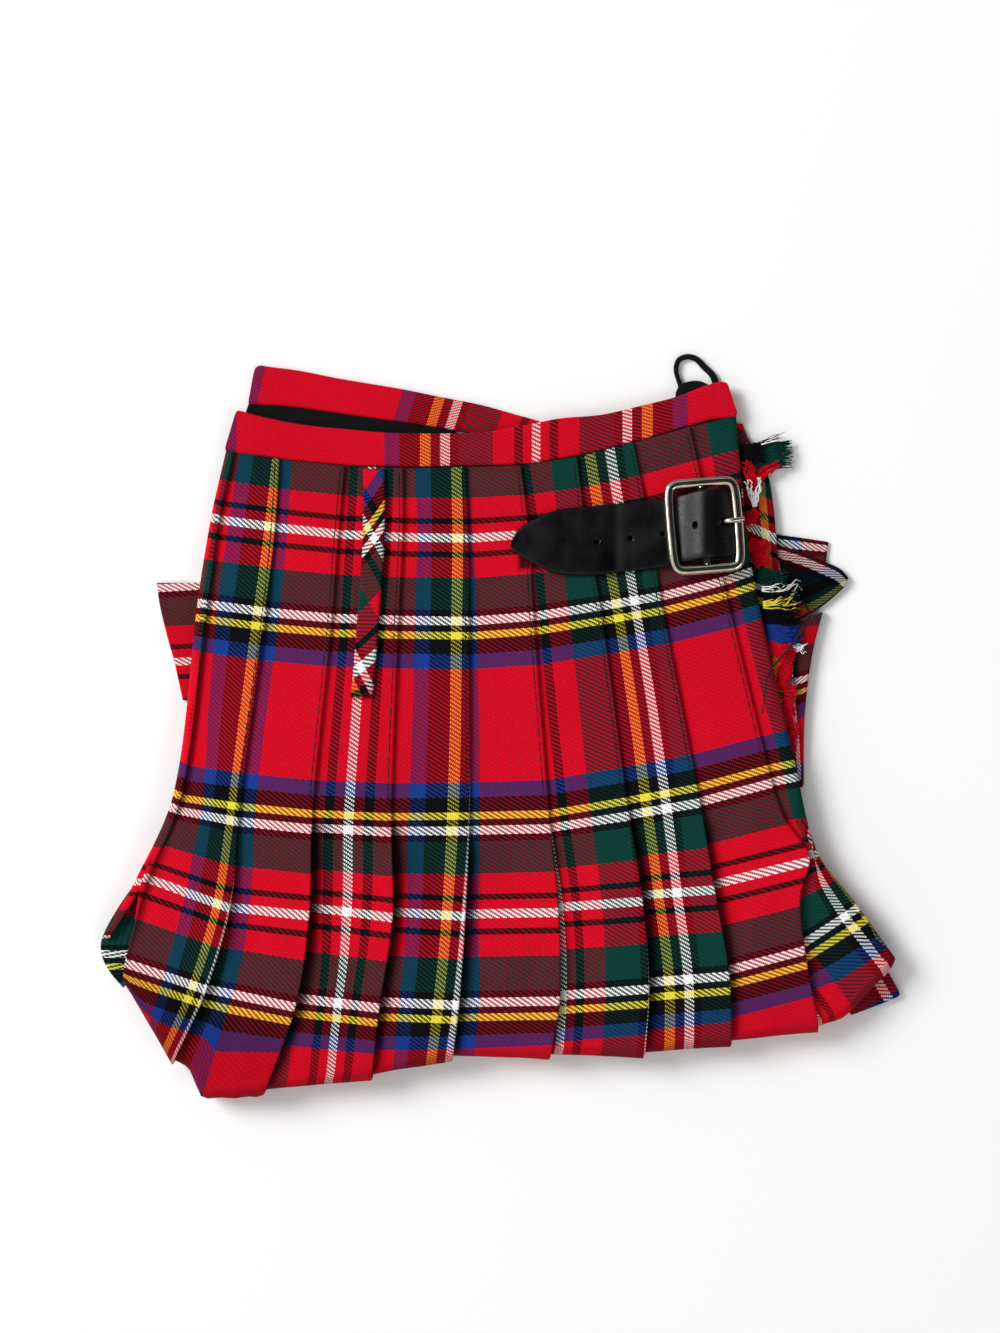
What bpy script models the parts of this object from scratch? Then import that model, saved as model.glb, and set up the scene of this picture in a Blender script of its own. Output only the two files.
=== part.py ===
"""A buckled tartan kilt, folded in half across its length and lying flat on its aprons.

Frame: +X towards the buckled side, +Y towards the waistband, +Z up. The origin is on the
surface that the kilt lies on, below the middle of its box. All sizes are in millimetres and
become metres in the meshes.
"""
import math

import bmesh
import bpy
from mathutils import Matrix, Vector

MM = 0.001
GAP = 0.3               # clear distance between pieces that touch
CLOTH = 1.3             # pressed wool with its nap
BAND = 3.0              # waistband: two turned layers over a stiffener
LEATHER = 2.2
WELD = 0.00001

# The folded stack that the pleats lie on.
STACK = (
    # y of the section, height above the floor
    (-150.0, 16.0),
    (-100.0, 15.0),
    (-40.0, 13.4),
    (30.0, 11.6),
    (64.0, 9.6),
    (90.0, 6.4),
    (118.0, 5.5),
    (150.0, 5.7),
)
EDGE_FALL = 0.15        # share of the stack's height that is lost at the side folds
CORE_CLEAR = 0.8        # the hidden layers stay this far below the pleats' lowest points
CORE_INSET = 5.0        # and this far inside the side folds
CORE_REACH = -0.2       # station at which they end, under the waistband
SIDE_OUT = 1.2
SIDE_LAYERS = (
    # share of the height, how far this line stands out from the top edge
    (0.92, 0.6), (0.80, SIDE_OUT), (0.68, 0.3), (0.52, SIDE_OUT), (0.38, 0.3), (0.20, SIDE_OUT),
    (0.07, 0.5),
)

# Folded edges of the knife pleats, seen from above, from left to right.
FOLDS = (
    # waist seam, white stripe 1, white stripe 2, end of stitching, white stripes 4 and 5, foot
    ((-121.9, 125.7), (-128.2, 94.8), (-133.9, 56.0), (-143.0, -31.8),
     (-158.6, -67.9), (-169.1, -106.3), (-171.4, -117.7)),
    ((-100.1, 122.2), (-101.9, 91.2), (-105.6, 52.3), (-117.4, -35.4),
     (-123.4, -80.7), (-135.3, -117.7), (-147.2, -152.9)),
    ((-70.4, 119.0), (-73.1, 88.0), (-75.9, 49.6), (-84.5, -38.6),
     (-89.6, -83.9), (-95.1, -125.4), (-106.9, -166.1)),
    ((-43.9, 118.1), (-43.9, 86.6), (-45.7, 48.7), (-48.9, -40.0),
     (-52.1, -84.8), (-55.8, -125.9), (-59.0, -159.7)),
    ((-15.5, 118.6), (-14.2, 86.1), (-13.7, 48.2), (-13.7, -39.5),
     (-15.5, -84.3), (-18.3, -124.5), (-21.5, -151.0)),
    ((9.6, 119.3), (13.3, 88.0), (15.5, 50.5), (22.4, -38.6),
     (26.5, -82.5), (27.0, -122.7), (22.4, -150.6)),
    ((35.2, 123.2), (39.3, 90.7), (45.7, 55.1), (57.6, -32.7),
     (64.4, -77.5), (67.2, -117.2), (65.4, -149.7)),
    ((60.8, 129.6), (67.6, 95.3), (73.6, 59.6), (90.5, -26.7),
     (99.2, -72.4), (104.7, -111.3), (104.7, -144.2)),
    ((86.4, 136.9), (94.1, 101.7), (101.5, 66.5), (121.6, -18.1),
     (132.5, -61.5), (137.6, -99.9), (144.4, -138.2)),
    ((107.4, 141.9), (110.6, 106.7), (114.7, 71.1), (133.9, -15.8),
     (144.0, -56.0), (162.0, -80.5), (180.3, -106.0)),
)
# The side pleat: its outer fold and its inner edge, at the same stations as far as it shows.
SIDE_OUTER = ((-124.8, 125.9), (-131.6, 95.7), (-137.6, 56.4), (-148.1, -29.0),
              (-165.9, -69.7), (-180.6, -95.5))
SIDE_INNER = ((-120.9, 125.7), (-127.2, 94.8), (-132.2, 56.0), (-143.9, -30.8),
              (-161.0, -69.7), (-177.3, -95.5))

PLEAT_LOW = 0.2         # underside of a tucked edge, above the stack
NOSE = 1.8              # thickness of a folded edge
NOSE_BEND = 0.7         # width of its rounding
PLEAT_RISE = 3.8        # top of a folded edge above the stack, where it is stitched
FREE_LIFT = 1.6         # how much further it stands up where it hangs free
TUCK = 8.0              # width of cloth tucked under the pleat beside it
FIRST_TUCK = 0.4
FACE_COLUMNS = (0.0, 0.3, 0.6, 0.86)
STATIONS = (0.0, 0.5, 1.0, 1.4, 1.7, 2.0, 2.33, 2.66, 3.0, 3.25, 3.6, 4.0, 4.5, 5.0)
FOOT_BEND = 2.5         # horizontal radius of the foot fold under the lowest cloth
FOOT_BACK = (6.5, 7.9)  # how far the fold's centre lies behind the foot, from a tuck to a fold
TURNED_BACK = 5.1       # the same at the turned side of the last pleat
FOOT_ANGLES = (0.0, 30.0, 60.0, 90.0, 120.0, 150.0)
FOOT_DROPS = {
    # pleat: share of its width and how far its foot hangs below the line between its folds
    2: ((0.0, 0.0), (0.14, 0.9), (0.31, 12.8), (0.6, 8.0), (0.9, 2.5), (1.0, 0.0)),
    9: ((0.0, 0.0), (0.35, 5.4), (0.7, 2.4), (0.9, 1.8), (1.0, 0.0)),
}

# How the two side pleats turn down: a row for each station.
LEFT_TURN = (
    # top above the stack, depth that the side turns down
    (3.4, 5.2), (3.4, 6.4), (3.4, 9.4), (3.4, 12.0), (0.6, 6.4), (-4.4, 1.4),
)
RIGHT_TURN = (
    (2.6, 2.9), (2.6, 2.3), (2.6, 2.8), (2.6, 6.4), (2.6, 9.5), (2.6, 3.6), (2.6, 3.0),
)
SIDE_BEND = 3.0
SIDE_ANGLES = (0.0, 40.0, 80.0, 120.0)
SIDE_STEP = 0.3         # rise of the left side pleat from its outer fold to its inner edge
TURNED_COLUMNS = (0.0, 0.25, 0.55)
TURNED_END = (0.9, 0.95, 0.98, 1.0)     # columns of the turned pleat at the foot

BAND_TOP = ((-119.7, 144.6), (-109.7, 141.9), (-91.4, 138.2), (-73.1, 136.2), (-45.7, 134.1),
            (-9.1, 134.6), (13.7, 138.2), (27.4, 140.8), (45.7, 142.4), (64.0, 146.5),
            (80.0, 150.6), (96.0, 156.6), (105.1, 157.4))
BAND_SEAM = ((-124.8, 126.6), (-109.7, 124.3), (-91.4, 121.6), (-73.1, 119.5), (-43.9, 118.6),
             (-15.5, 119.1), (9.6, 119.8), (27.4, 122.3), (45.7, 126.0), (64.0, 130.8),
             (82.3, 136.1), (96.0, 140.6), (107.4, 142.6))
BACK_TOP = ((-111.1, 165.2), (-91.4, 162.9), (-73.1, 159.3), (-45.7, 154.7), (-27.4, 151.0),
            (-9.1, 147.4), (9.1, 142.4), (20.6, 139.2))
BACK_SEAM = ((-114.7, 147.6), (-96.0, 146.5), (-79.0, 144.2), (-58.0, 141.2), (-38.0, 138.4),
             (-20.0, 135.4), (0.0, 130.9), (18.3, 127.3))
LINING_LOW = ((-117.8, 139.2), (-97.0, 135.2), (-79.0, 132.6), (-58.0, 130.6), (-38.0, 129.6),
              (-25.0, 129.4))

HEM_LEFT_OUTER = ((-156.8, 66.0), (-155.4, 56.0), (-152.2, 42.3), (-149.0, 30.8), (-144.9, 12.5))
HEM_LEFT_LEVELS = (66.4, 56.0, 42.3, 30.8, 12.5)    # y of its inner edge, which meets the stack
HEM_RIGHT_UPPER = ((118.5, 89.0), (134.0, 87.2), (149.9, 84.8))
HEM_RIGHT_LOWER = ((119.5, 74.0), (134.0, 72.0), (148.4, 72.5))
HEM_FLAP_UPPER = ((121.0, 85.0), (137.1, 80.3), (148.5, 75.6), (155.4, 72.3), (159.0, 68.3))
HEM_FLAP_LOWER = ((124.0, 43.6), (134.0, 48.0), (142.6, 52.4), (149.6, 57.4), (156.8, 63.8))
SIDE_LAYER_LEFT = ((125.0, 42.6), (128.0, 25.0), (131.5, 5.0), (133.5, -12.0), (136.2, -27.0))
SIDE_LAYER_RIGHT = ((147.3, 53.0), (143.2, 37.0), (140.4, 20.0), (138.8, 2.0), (138.6, -27.0))
POCKET_OUTER = ((-149.9, -41.4), (-156.3, -51.4), (-165.9, -69.7), (-175.7, -84.5),
                (-181.8, -97.0), (-181.4, -104.5), (-177.6, -111.8))
POCKET_INNER = ((-144.4, -41.4), (-149.5, -52.0), (-154.6, -68.0), (-159.6, -80.5),
                (-164.0, -93.0), (-167.6, -101.0), (-173.0, -109.0))
CORNER_INNER = ((175.1, -110.4), (172.2, -113.0), (169.4, -115.9), (163.4, -122.1), (158.0, -128.5))
CORNER_OUTER = ((177.6, -112.2), (182.3, -121.2), (181.4, -122.9), (170.5, -127.4), (160.4, -131.2))
CORNER_HEIGHT = 4.0
APRON_OUTER = ((110.9, 138.7), (113.6, 131.2), (118.2, 124.6), (122.3, 115.0), (124.3, 104.0),
               (125.7, 90.3), (127.0, 76.5), (130.2, 62.8), (132.1, 40.0), (133.9, 17.1),
               (136.2, -5.7), (137.0, -24.0))
APRON_INNER_SHIFT = 3.4
LAYER_HEIGHT = 5.0      # the folded-under layers that stick out past the side folds
POCKET_HEIGHT = 6.0
APRON_HEIGHTS = (
    # y, underside of the apron's edge above the floor
    (-30.0, 5.3), (45.0, 5.3), (60.0, 3.2), (98.0, 3.0), (118.0, 1.8), (140.0, 0.8),
)

LOOP_LINE = ((-57.1, 117.6), (-57.1, 104.0), (-57.6, 76.5), (-59.0, 58.3), (-60.3, 40.0),
             (-61.7, 21.7), (-62.6, 14.2))
LOOP_WIDTH = 10.0
LOOP_THICK = 2.2
LOOP_ARCH = 0.9

STRAP_UPPER = ((4.9, 84.6), (8.5, 90.0), (13.7, 93.5), (24.0, 98.4), (40.0, 100.6), (58.0, 102.2),
               (74.0, 104.0), (82.0, 105.7), (90.0, 107.5), (98.0, 108.8), (106.0, 109.5), (114.6, 109.8))
STRAP_LOWER = ((4.6, 82.4), (8.5, 78.4), (13.7, 75.1), (24.0, 70.4), (40.0, 69.2), (58.0, 70.9),
               (74.0, 72.8), (82.0, 74.6), (90.0, 76.4), (98.0, 77.3), (106.0, 78.0), (115.4, 78.4))
STRAP_LIFT = (
    # x along the strap, underside above the bed
    (4.0, 0.3), (68.0, 0.3), (82.9, 0.3), (85.0, 1.4), (90.0, 5.4), (92.2, 5.95), (96.3, 5.95),
    (100.5, 4.4), (105.4, 0.45), (110.5, 0.0), (115.5, -2.6),
)
STRAP_ROWS = 44
HOLES = (
    # x, y, radius: the last one is worn wide by the prong
    (43.9, 84.3, 1.5), (59.0, 86.1, 1.5), (73.6, 88.0, 1.5), (88.4, 92.2, 1.5), (102.6, 93.4, 2.3),
)
BUCKLE_PLACE = (94.2, 91.6)
BUCKLE_TURN = 4.5
BUCKLE_SIZE = (35.0, 43.9)
BUCKLE_BAR = 4.4
BUCKLE_CORNER = 5.5
BUCKLE_LIFT = 2.9       # underside of the frame above the bed
BUCKLE_THICK = 2.8
CENTRE_BAR = 1.6
CENTRE_LIFT = 4.1
BED_REACH = 16.5        # half length of the flat bed that the buckle lies on
BED_BLEND = (58.0, 78.0)
TAB_SIZE = (15.0, 32.0)
TAB_THICK = 1.5
PRONG_RADIUS = 1.0
PRONG = (
    # x, y, centre above the bed
    (96.8, 92.8, 3.3), (99.2, 93.0, 3.1), (101.0, 93.2, 3.1), (102.3, 93.4, 4.6), (103.4, 93.6, 6.4),
    (105.8, 93.8, 7.4), (109.0, 94.2, 7.2), (111.6, 94.6, 7.0),
)

HANG_LINE = ((82.9, 151.0), (82.0, 157.0), (80.4, 163.0), (81.5, 167.6), (85.2, 169.3),
             (89.4, 168.4), (93.3, 164.6), (97.2, 160.6), (99.0, 155.0))
HANG_RADIUS = 1.1
HANG_HEIGHT = 1.2
TAPE_OUTER = ((80.0, 148.5), (80.2, 153.0), (82.4, 156.4), (86.8, 158.0), (91.4, 158.0), (95.4, 156.2))
TAPE_INNER = ((82.0, 146.5), (84.0, 147.5), (86.0, 148.6), (88.6, 149.3), (91.6, 150.4), (94.4, 151.6))

FRINGE_ROOT = (0.2, 10.9)        # stretch of the over-apron's edge that is frayed
FRINGE_LOCKS = 46
FRINGE_BACKING = (1.2, 1.2)      # width and height of the strip that holds the locks
FRINGE_GROUPS = (
    # share of the frayed edge, lock length, direction in degrees, tip height above the floor
    (0.00, 5.0, 30.0, 1.6),
    (0.04, 14.0, 22.0, 1.4),
    (0.09, 19.0, 17.0, 1.4),
    (0.13, 15.0, 6.0, 1.4),
    (0.18, 11.0, -6.0, 1.4),
    (0.22, 4.0, 25.0, 2.2),
    (0.28, 5.0, 55.0, 4.6),
    (0.42, 3.5, 40.0, 5.2),
    (0.47, 5.0, -10.0, 5.4),
    (0.56, 7.0, -8.0, 6.2),
    (0.64, 6.0, -2.0, 6.4),
    (0.72, 7.0, 4.0, 6.4),
    (0.80, 4.0, 5.0, 6.8),
    (0.88, 3.0, 4.0, 7.0),
    (1.00, 2.2, -10.0, 7.0),
)
LOCK_SHARE = 0.62       # how far a lock narrows at each of its bends
LOCK_BENDS = 3


def between(first, second, share):
    return first + (second - first) * share


def spline(points, place):
    """Smooth curve through points, at a place counted in points; past the ends it runs straight."""
    last = len(points) - 1
    index = min(max(int(math.floor(place)), 0), last - 1)
    share = place - index
    knots = [Vector(points[min(max(index + step, 0), last)]) for step in (-1, 0, 1, 2)]
    length = (knots[2] - knots[1]).length
    before = (knots[1] - knots[0]).length
    after = (knots[3] - knots[2]).length
    leave = (knots[2] - knots[0]) / (length + before)
    arrive = (knots[3] - knots[1]) / (length + after)
    if share < 0.0:
        return knots[1] + leave * (length * share)
    if share > 1.0:
        return knots[2] + arrive * (length * (share - 1.0))
    square = share * share
    cube = square * share
    return ((2 * cube - 3 * square + 1) * knots[1] + (cube - 2 * square + share) * length * leave
            + (3 * square - 2 * cube) * knots[2] + (cube - square) * length * arrive)


def table(rows, key):
    """Second column of a table at a value of its first column, blended softly between rows."""
    if key <= rows[0][0]:
        return rows[0][1]
    for (low, here), (high, there) in zip(rows, rows[1:]):
        if key <= high:
            share = (key - low) / (high - low)
            soft = share * share * (3.0 - 2.0 * share)
            return between(here, there, 0.5 * (share + soft))
    return rows[-1][1]


def fold_x(fold, y):
    """Where a folded edge crosses a level line."""
    for upper, lower in zip(fold, fold[1:]):
        if y >= lower[1]:
            return between(upper[0], lower[0], (upper[1] - y) / (upper[1] - lower[1]))
    return fold[-1][0]


def stack(x, y):
    """Height of the folded layers that carry the pleats."""
    left = fold_x(FOLDS[0], y)
    right = fold_x(FOLDS[-1], y)
    side = min(abs(2.0 * (x - left) / (right - left) - 1.0), 1.0)
    return table(STACK, y) * (1.0 - EDGE_FALL * side ** 4)


def face_top(x, y):
    """Top of the pleat faces, from their tucked sides up to their folded edges."""
    places = [fold_x(fold, y) for fold in FOLDS]
    share = 0.0
    for left, right in zip(places, places[1:]):
        if left <= x <= right:
            share = (x - left) / (right - left)
    low = PLEAT_LOW + CLOTH
    return stack(x, y) + low + (PLEAT_RISE - low) * share


def free(station):
    """0 where the pleats are stitched down, 1 where they hang free."""
    return min(max(station - 3.0, 0.0), 1.0)


def material(name, colour, roughness, metallic=0.0):
    made = bpy.data.materials.new(name)
    made.use_nodes = True
    shader = made.node_tree.nodes["Principled BSDF"]
    shader.inputs["Base Color"].default_value = (*colour, 1.0)
    shader.inputs["Roughness"].default_value = roughness
    shader.inputs["Metallic"].default_value = metallic
    return made


def add_object(name, mesh, finish):
    """Turn a bmesh into a named object of the kilt."""
    data = bpy.data.meshes.new(name)
    mesh.to_mesh(data)
    mesh.free()
    data.materials.append(finish)
    made = bpy.data.objects.new(name, data)
    kilt.objects.link(made)
    return made


def ring(section):
    rungs, right, left = section
    return [top for top, low in rungs] + right + [low for top, low in reversed(rungs)] + left


def pinched(section):
    """The same section closed to a line, which caps an end."""
    rungs, right, left = section
    middles = [(top + low) / 2 for top, low in rungs]
    return middles + [middles[-1]] * len(right) + middles[::-1] + [middles[0]] * len(left)


def loft_mesh(sections):
    """Closed skin over a row of sections, each made of rungs between its top and its underside."""
    rings = [pinched(sections[0])] + [ring(section) for section in sections] + [pinched(sections[-1])]
    around = len(rings[0])
    mesh = bmesh.new()
    bmesh.ops.create_grid(mesh, x_segments=around, y_segments=len(rings) - 1, size=0.5)
    for vertex in mesh.verts:
        column = round((vertex.co.x + 0.5) * around)
        row = round((vertex.co.y + 0.5) * (len(rings) - 1))
        vertex.co = rings[row][column % around] * MM
    bmesh.ops.remove_doubles(mesh, verts=mesh.verts, dist=WELD)
    bmesh.ops.recalc_face_normals(mesh, faces=mesh.faces)
    return mesh


def loft(name, sections, finish):
    return add_object(name, loft_mesh(sections), finish)


def raised(plan, height):
    return Vector((plan.x, plan.y, height))


def slab(name, first, second, rows, columns, underside, thick, finish, edge=0.5):
    """Sheet between two outlines, with rounded long edges, over an underside given by height."""
    sections = []
    for row in range(rows + 1):
        share = row / rows
        start = spline(first, share * (len(first) - 1))
        end = spline(second, share * (len(second) - 1))
        across = (end - start).normalized() * edge
        rungs = []
        for column in range(columns + 1):
            plan = between(start + across, end - across, column / columns)
            low = underside(plan.x, plan.y)
            rungs.append((raised(plan, low + thick), raised(plan, low)))
        last = raised(end, (rungs[-1][0].z + rungs[-1][1].z) / 2)
        head = raised(start, (rungs[0][0].z + rungs[0][1].z) / 2)
        sections.append((rungs, [last], [head]))
    return loft(name, sections, finish)


def pleat_plan(number, share, station):
    """Plan point of a pleat's face: 0 at the fold on its left, 1 at its own fold."""
    if number == 0:
        return between(spline(SIDE_OUTER, station), spline(SIDE_INNER, station), share)
    plan = between(spline(FOLDS[number - 1], station), spline(FOLDS[number], station), share)
    if number in FOOT_DROPS:
        plan.y -= table(FOOT_DROPS[number], share) * max(station - 5.0, 0.0) ** 2
    return plan


def foot_frame(number, share, tucked):
    """Centre of the foot fold at one column, and the direction in which it turns."""
    foot = pleat_plan(number, share, 6.0)
    run = (foot - pleat_plan(number, share, 5.2)).normalized()
    far = TURNED_BACK if number == 9 else FOOT_BACK[1]
    return foot - run * between(FOOT_BACK[0], far, 0.0 if tucked else share), run


def pleat_point(number, share, station, angle, height, tucked=False):
    """Point of the pleated cloth at a height above the stack; angle turns it round the foot."""
    if angle is None:
        plan = pleat_plan(number, share, station)
        return raised(plan, stack(plan.x, plan.y) + height)
    centre, run = foot_frame(number, share, tucked)
    base = stack(centre.x, centre.y)
    bend = (base - GAP - 0.866 * (PLEAT_RISE + FREE_LIFT)) / 1.866
    turn = math.radians(angle)
    plan = centre + run * ((FOOT_BEND + height) * math.sin(turn))
    return raised(plan, base - bend + (bend + height) * math.cos(turn))


def foot_rows():
    """Stations down the pleats, then the angles round the foot fold."""
    flat = [(station, None) for station in STATIONS]
    return flat + [(6.0, angle) for angle in FOOT_ANGLES]


def pleat_width(number, station):
    return (pleat_plan(number, 1.0, station) - pleat_plan(number, 0.0, station)).length


def pleat_section(number, station, angle):
    """Section of one knife pleat: tucked edge on the left, folded edge on the right."""
    low_top = PLEAT_LOW + CLOTH
    crest = PLEAT_RISE + FREE_LIFT * free(station)
    if number == 1:
        strip, hidden = 1, -FIRST_TUCK / pleat_width(1, station)
    else:
        strip, hidden = number - 1, 1.0 - TUCK / pleat_width(number - 1, station)
    rungs = [(pleat_point(strip, hidden, station, angle, low_top, tucked=True),
              pleat_point(strip, hidden, station, angle, PLEAT_LOW, tucked=True))]
    for share in FACE_COLUMNS:
        top = between(low_top, crest, share)
        thick = CLOTH if share < FACE_COLUMNS[-1] else NOSE
        rungs.append((pleat_point(number, share, station, angle, top),
                      pleat_point(number, share, station, angle, top - thick)))
    shoulder = 1.0 - NOSE_BEND / pleat_width(number, station)
    rungs.append((pleat_point(number, shoulder, station, angle, crest),
                  pleat_point(number, shoulder, station, angle, crest - NOSE)))
    nose = pleat_point(number, 1.0, station, angle, crest - NOSE / 2)
    return rungs, [nose], []


def turned_rungs(number, side, station, angle, turn):
    """Rungs round a side fold, from its level part down; side is 0 for the left, 1 for the right."""
    rise, depth = turn
    outer = pleat_point(number, side, station, angle, rise)
    inner = pleat_point(number, 1.0 - side, station, angle, rise)
    across = (outer - inner)
    across.z = 0.0
    across.normalize()
    bend = min(SIDE_BEND, 0.55 * (outer - inner).length)
    half = depth / 2
    rungs = []
    for step in SIDE_ANGLES:
        way = math.radians(step)
        plan = across * (bend * (math.sin(way) - 1.0))
        top = outer + plan - Vector((0, 0, half * (1.0 - math.cos(way))))
        inset = across * ((bend - CLOTH) * math.sin(way) - bend)
        low = outer + inset - Vector((0, 0, CLOTH + max(half - CLOTH, 0.2) * (1.0 - math.cos(way))))
        rungs.append((top, low))
    return rungs


def side_turn(rows, station):
    index = min(int(station), len(rows) - 2)
    share = min(station - index, 1.0)
    return tuple(between(here, there, share) for here, there in zip(rows[index], rows[index + 1]))


def build_side_pleat(finish):
    sections = []
    for station in STATIONS:
        turn = side_turn(LEFT_TURN, station)
        rungs = turned_rungs(0, 0.0, station, None, turn)[::-1]
        top = turn[0] + SIDE_STEP
        shoulder = pleat_point(0, FACE_COLUMNS[-1], station, None, top)
        rungs.append((shoulder, shoulder - Vector((0, 0, NOSE))))
        nose = pleat_point(0, 1.0, station, None, top - NOSE / 2)
        sections.append((rungs, [nose], []))
    return loft("pleat_0", sections, finish)


def build_turned_pleat(finish):
    """The last pleat, which turns down over the right side and is splayed below the stitching."""
    sections = []
    for station, angle in foot_rows():
        rise, depth = side_turn(RIGHT_TURN, station)
        low_top = PLEAT_LOW + CLOTH
        hidden = 1.0 - TUCK / pleat_width(8, station)
        rungs = [(pleat_point(8, hidden, station, angle, low_top, tucked=True),
                  pleat_point(8, hidden, station, angle, PLEAT_LOW, tucked=True))]
        for share in TURNED_COLUMNS:
            top = between(low_top, rise, share / TURNED_COLUMNS[-1])
            rungs.append((pleat_point(9, share, station, angle, top),
                          pleat_point(9, share, station, angle, top - CLOTH)))
        if angle is None:
            rungs += turned_rungs(9, 1.0, station, angle, (rise, depth))
        else:
            for share in TURNED_END:
                rungs.append((pleat_point(9, share, station, angle, rise),
                              pleat_point(9, share, station, angle, rise - CLOTH)))
        sections.append((rungs, [], []))
    return loft("pleat_9", sections, finish)


def build_pleats(finish):
    build_side_pleat(finish)
    for number in range(1, 9):
        sections = [pleat_section(number, station, angle) for station, angle in foot_rows()]
        loft("pleat_%d" % number, sections, finish)
    build_turned_pleat(finish)


def core_section(station, angle):
    """Section of the hidden layers: every fold line, set in at both sides, over a flat underside."""
    rungs = []
    for number in range(10):
        strip, share = max(number, 1), 1.0
        if number == 0:
            share = CORE_INSET / pleat_width(1, station)
        if number == 9:
            share = 1.0 - CORE_INSET / pleat_width(9, station)
        top = pleat_point(strip, share, station, angle, -CORE_CLEAR, tucked=True)
        low = pleat_point(strip, share, station, 0.0 if angle is not None else None, 0.0, tucked=True)
        rungs.append((top, Vector((low.x, low.y, 0.0))))
    sides = []
    layered = 1.0 if angle is None else 0.0
    for top, low, way in ((rungs[-1][0], rungs[-1][1], 1.0), (rungs[0][0], rungs[0][1], -1.0)):
        line = []
        for level, out in SIDE_LAYERS:
            point = between(low, top, level)
            line.append(point + Vector((way * out * layered, 0, 0)))
        sides.append(line)
    return rungs, sides[0], sides[1][::-1]


def build_core(finish):
    rows = [(CORE_REACH, None)] + foot_rows()
    return loft("hidden_layers", [core_section(station, angle) for station, angle in rows], finish)


def build_bands(finish, black):
    slab("waistband", BAND_TOP, BAND_SEAM, 22, 4,
         lambda x, y: stack(x, y) - CORE_CLEAR + GAP, BAND, finish, edge=0.8)
    slab("apron_waistband", BACK_TOP, BACK_SEAM, 14, 3, lambda x, y: 0.0, BAND, finish, edge=0.8)
    upper = [(x, y - GAP) for x, y in BACK_SEAM[:6]]
    slab("lining_strip", upper, LINING_LOW, 10, 1, lambda x, y: 0.0, CLOTH, black, edge=0.3)


def apron_height(x, y):
    return table(APRON_HEIGHTS, y)


def build_side_sheets(finish):
    meet = CORE_INSET - SIDE_OUT - GAP
    inner = [(fold_x(FOLDS[0], y) + meet, y) for y in HEM_LEFT_LEVELS]
    slab("hem_left", HEM_LEFT_OUTER, inner, 8, 2, lambda x, y: 0.0, CLOTH, finish)
    slab("hem_right", HEM_RIGHT_UPPER, HEM_RIGHT_LOWER, 4, 2, lambda x, y: 0.0, CLOTH, finish)
    slab("hem_flap", HEM_FLAP_UPPER, HEM_FLAP_LOWER, 8, 3, lambda x, y: CLOTH + GAP, CLOTH, finish)
    slab("side_layer", SIDE_LAYER_LEFT, SIDE_LAYER_RIGHT, 8, 2, lambda x, y: 0.0, LAYER_HEIGHT, finish,
         edge=1.2)
    slab("side_pocket", POCKET_OUTER, POCKET_INNER, 12, 2, lambda x, y: 0.0, POCKET_HEIGHT, finish,
         edge=1.2)
    slab("foot_corner", CORNER_INNER, CORNER_OUTER, 8, 2, lambda x, y: 0.0, CORNER_HEIGHT, finish)
    count = 24
    outer = [spline(APRON_OUTER, index / count * (len(APRON_OUTER) - 1)) for index in range(count + 1)]
    inner = []
    for point in outer:
        inner.append(Vector((fold_x(FOLDS[-1], point.y) - APRON_INNER_SHIFT, point.y)))
    slab("apron_edge", outer, inner, count, 2, apron_height, CLOTH, finish)


def build_fringe(finish):
    """Backing strip along the over-apron's edge, with a lock drawn out of each of its outer faces."""
    width, thick = FRINGE_BACKING
    sections = []
    for row in range(FRINGE_LOCKS + 1):
        place = between(*FRINGE_ROOT, row / FRINGE_LOCKS)
        slope = (spline(APRON_OUTER, place + 0.1) - spline(APRON_OUTER, place - 0.1)).normalized()
        out = Vector((-slope.y, slope.x))
        root = spline(APRON_OUTER, place) + out * GAP
        low = apron_height(root.x, root.y)
        far = root + out * width
        rungs = [(raised(plan, low + thick), raised(plan, low)) for plan in (root, far)]
        sections.append((rungs, [], []))
    mesh = loft_mesh(sections)
    outer = [face for face in mesh.faces if face.normal.x > 0.7 and len(face.verts) == 4]
    outer.sort(key=lambda face: -face.calc_center_median().y)
    for number, face in enumerate(outer):
        share = number / (len(outer) - 1)
        length = table([(row[0], row[1]) for row in FRINGE_GROUPS], share)
        heading = math.radians(table([(row[0], row[2]) for row in FRINGE_GROUPS], share))
        tip = table([(row[0], row[3]) for row in FRINGE_GROUPS], share)
        length *= 1.0 + 0.14 * math.sin(2.4 * number)
        climb = tip - face.calc_center_median().z / MM
        step = Vector((math.cos(heading) * length, math.sin(heading) * length, climb)) / LOCK_BENDS
        grown = face
        for _ in range(LOCK_BENDS):
            grown = bmesh.ops.extrude_discrete_faces(mesh, faces=[grown])["faces"][0]
            bmesh.ops.translate(mesh, verts=grown.verts, vec=step * MM)
            centre = grown.calc_center_median()
            for vertex in grown.verts:
                vertex.co = centre + (vertex.co - centre) * LOCK_SHARE
    return add_object("fringe", mesh, finish)


def build_loop(finish):
    edges = []
    for side in (-0.5, 0.5):
        edges.append([Vector(point) + Vector((side * LOOP_WIDTH, 0.0)) for point in LOOP_LINE])
    middle = (LOOP_LINE[0][1] + LOOP_LINE[-1][1]) / 2
    reach = LOOP_LINE[0][1] - middle

    def underside(x, y):
        arch = 1.0 - ((y - middle) / reach) ** 2
        return face_top(x, y) + GAP + LOOP_ARCH * max(arch, 0.0)

    return slab("belt_loop", edges[0], edges[1], 16, 3, underside, LOOP_THICK, finish, edge=0.6)


def pleat_crest(x, y):
    return stack(x, y) + PLEAT_RISE


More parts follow.
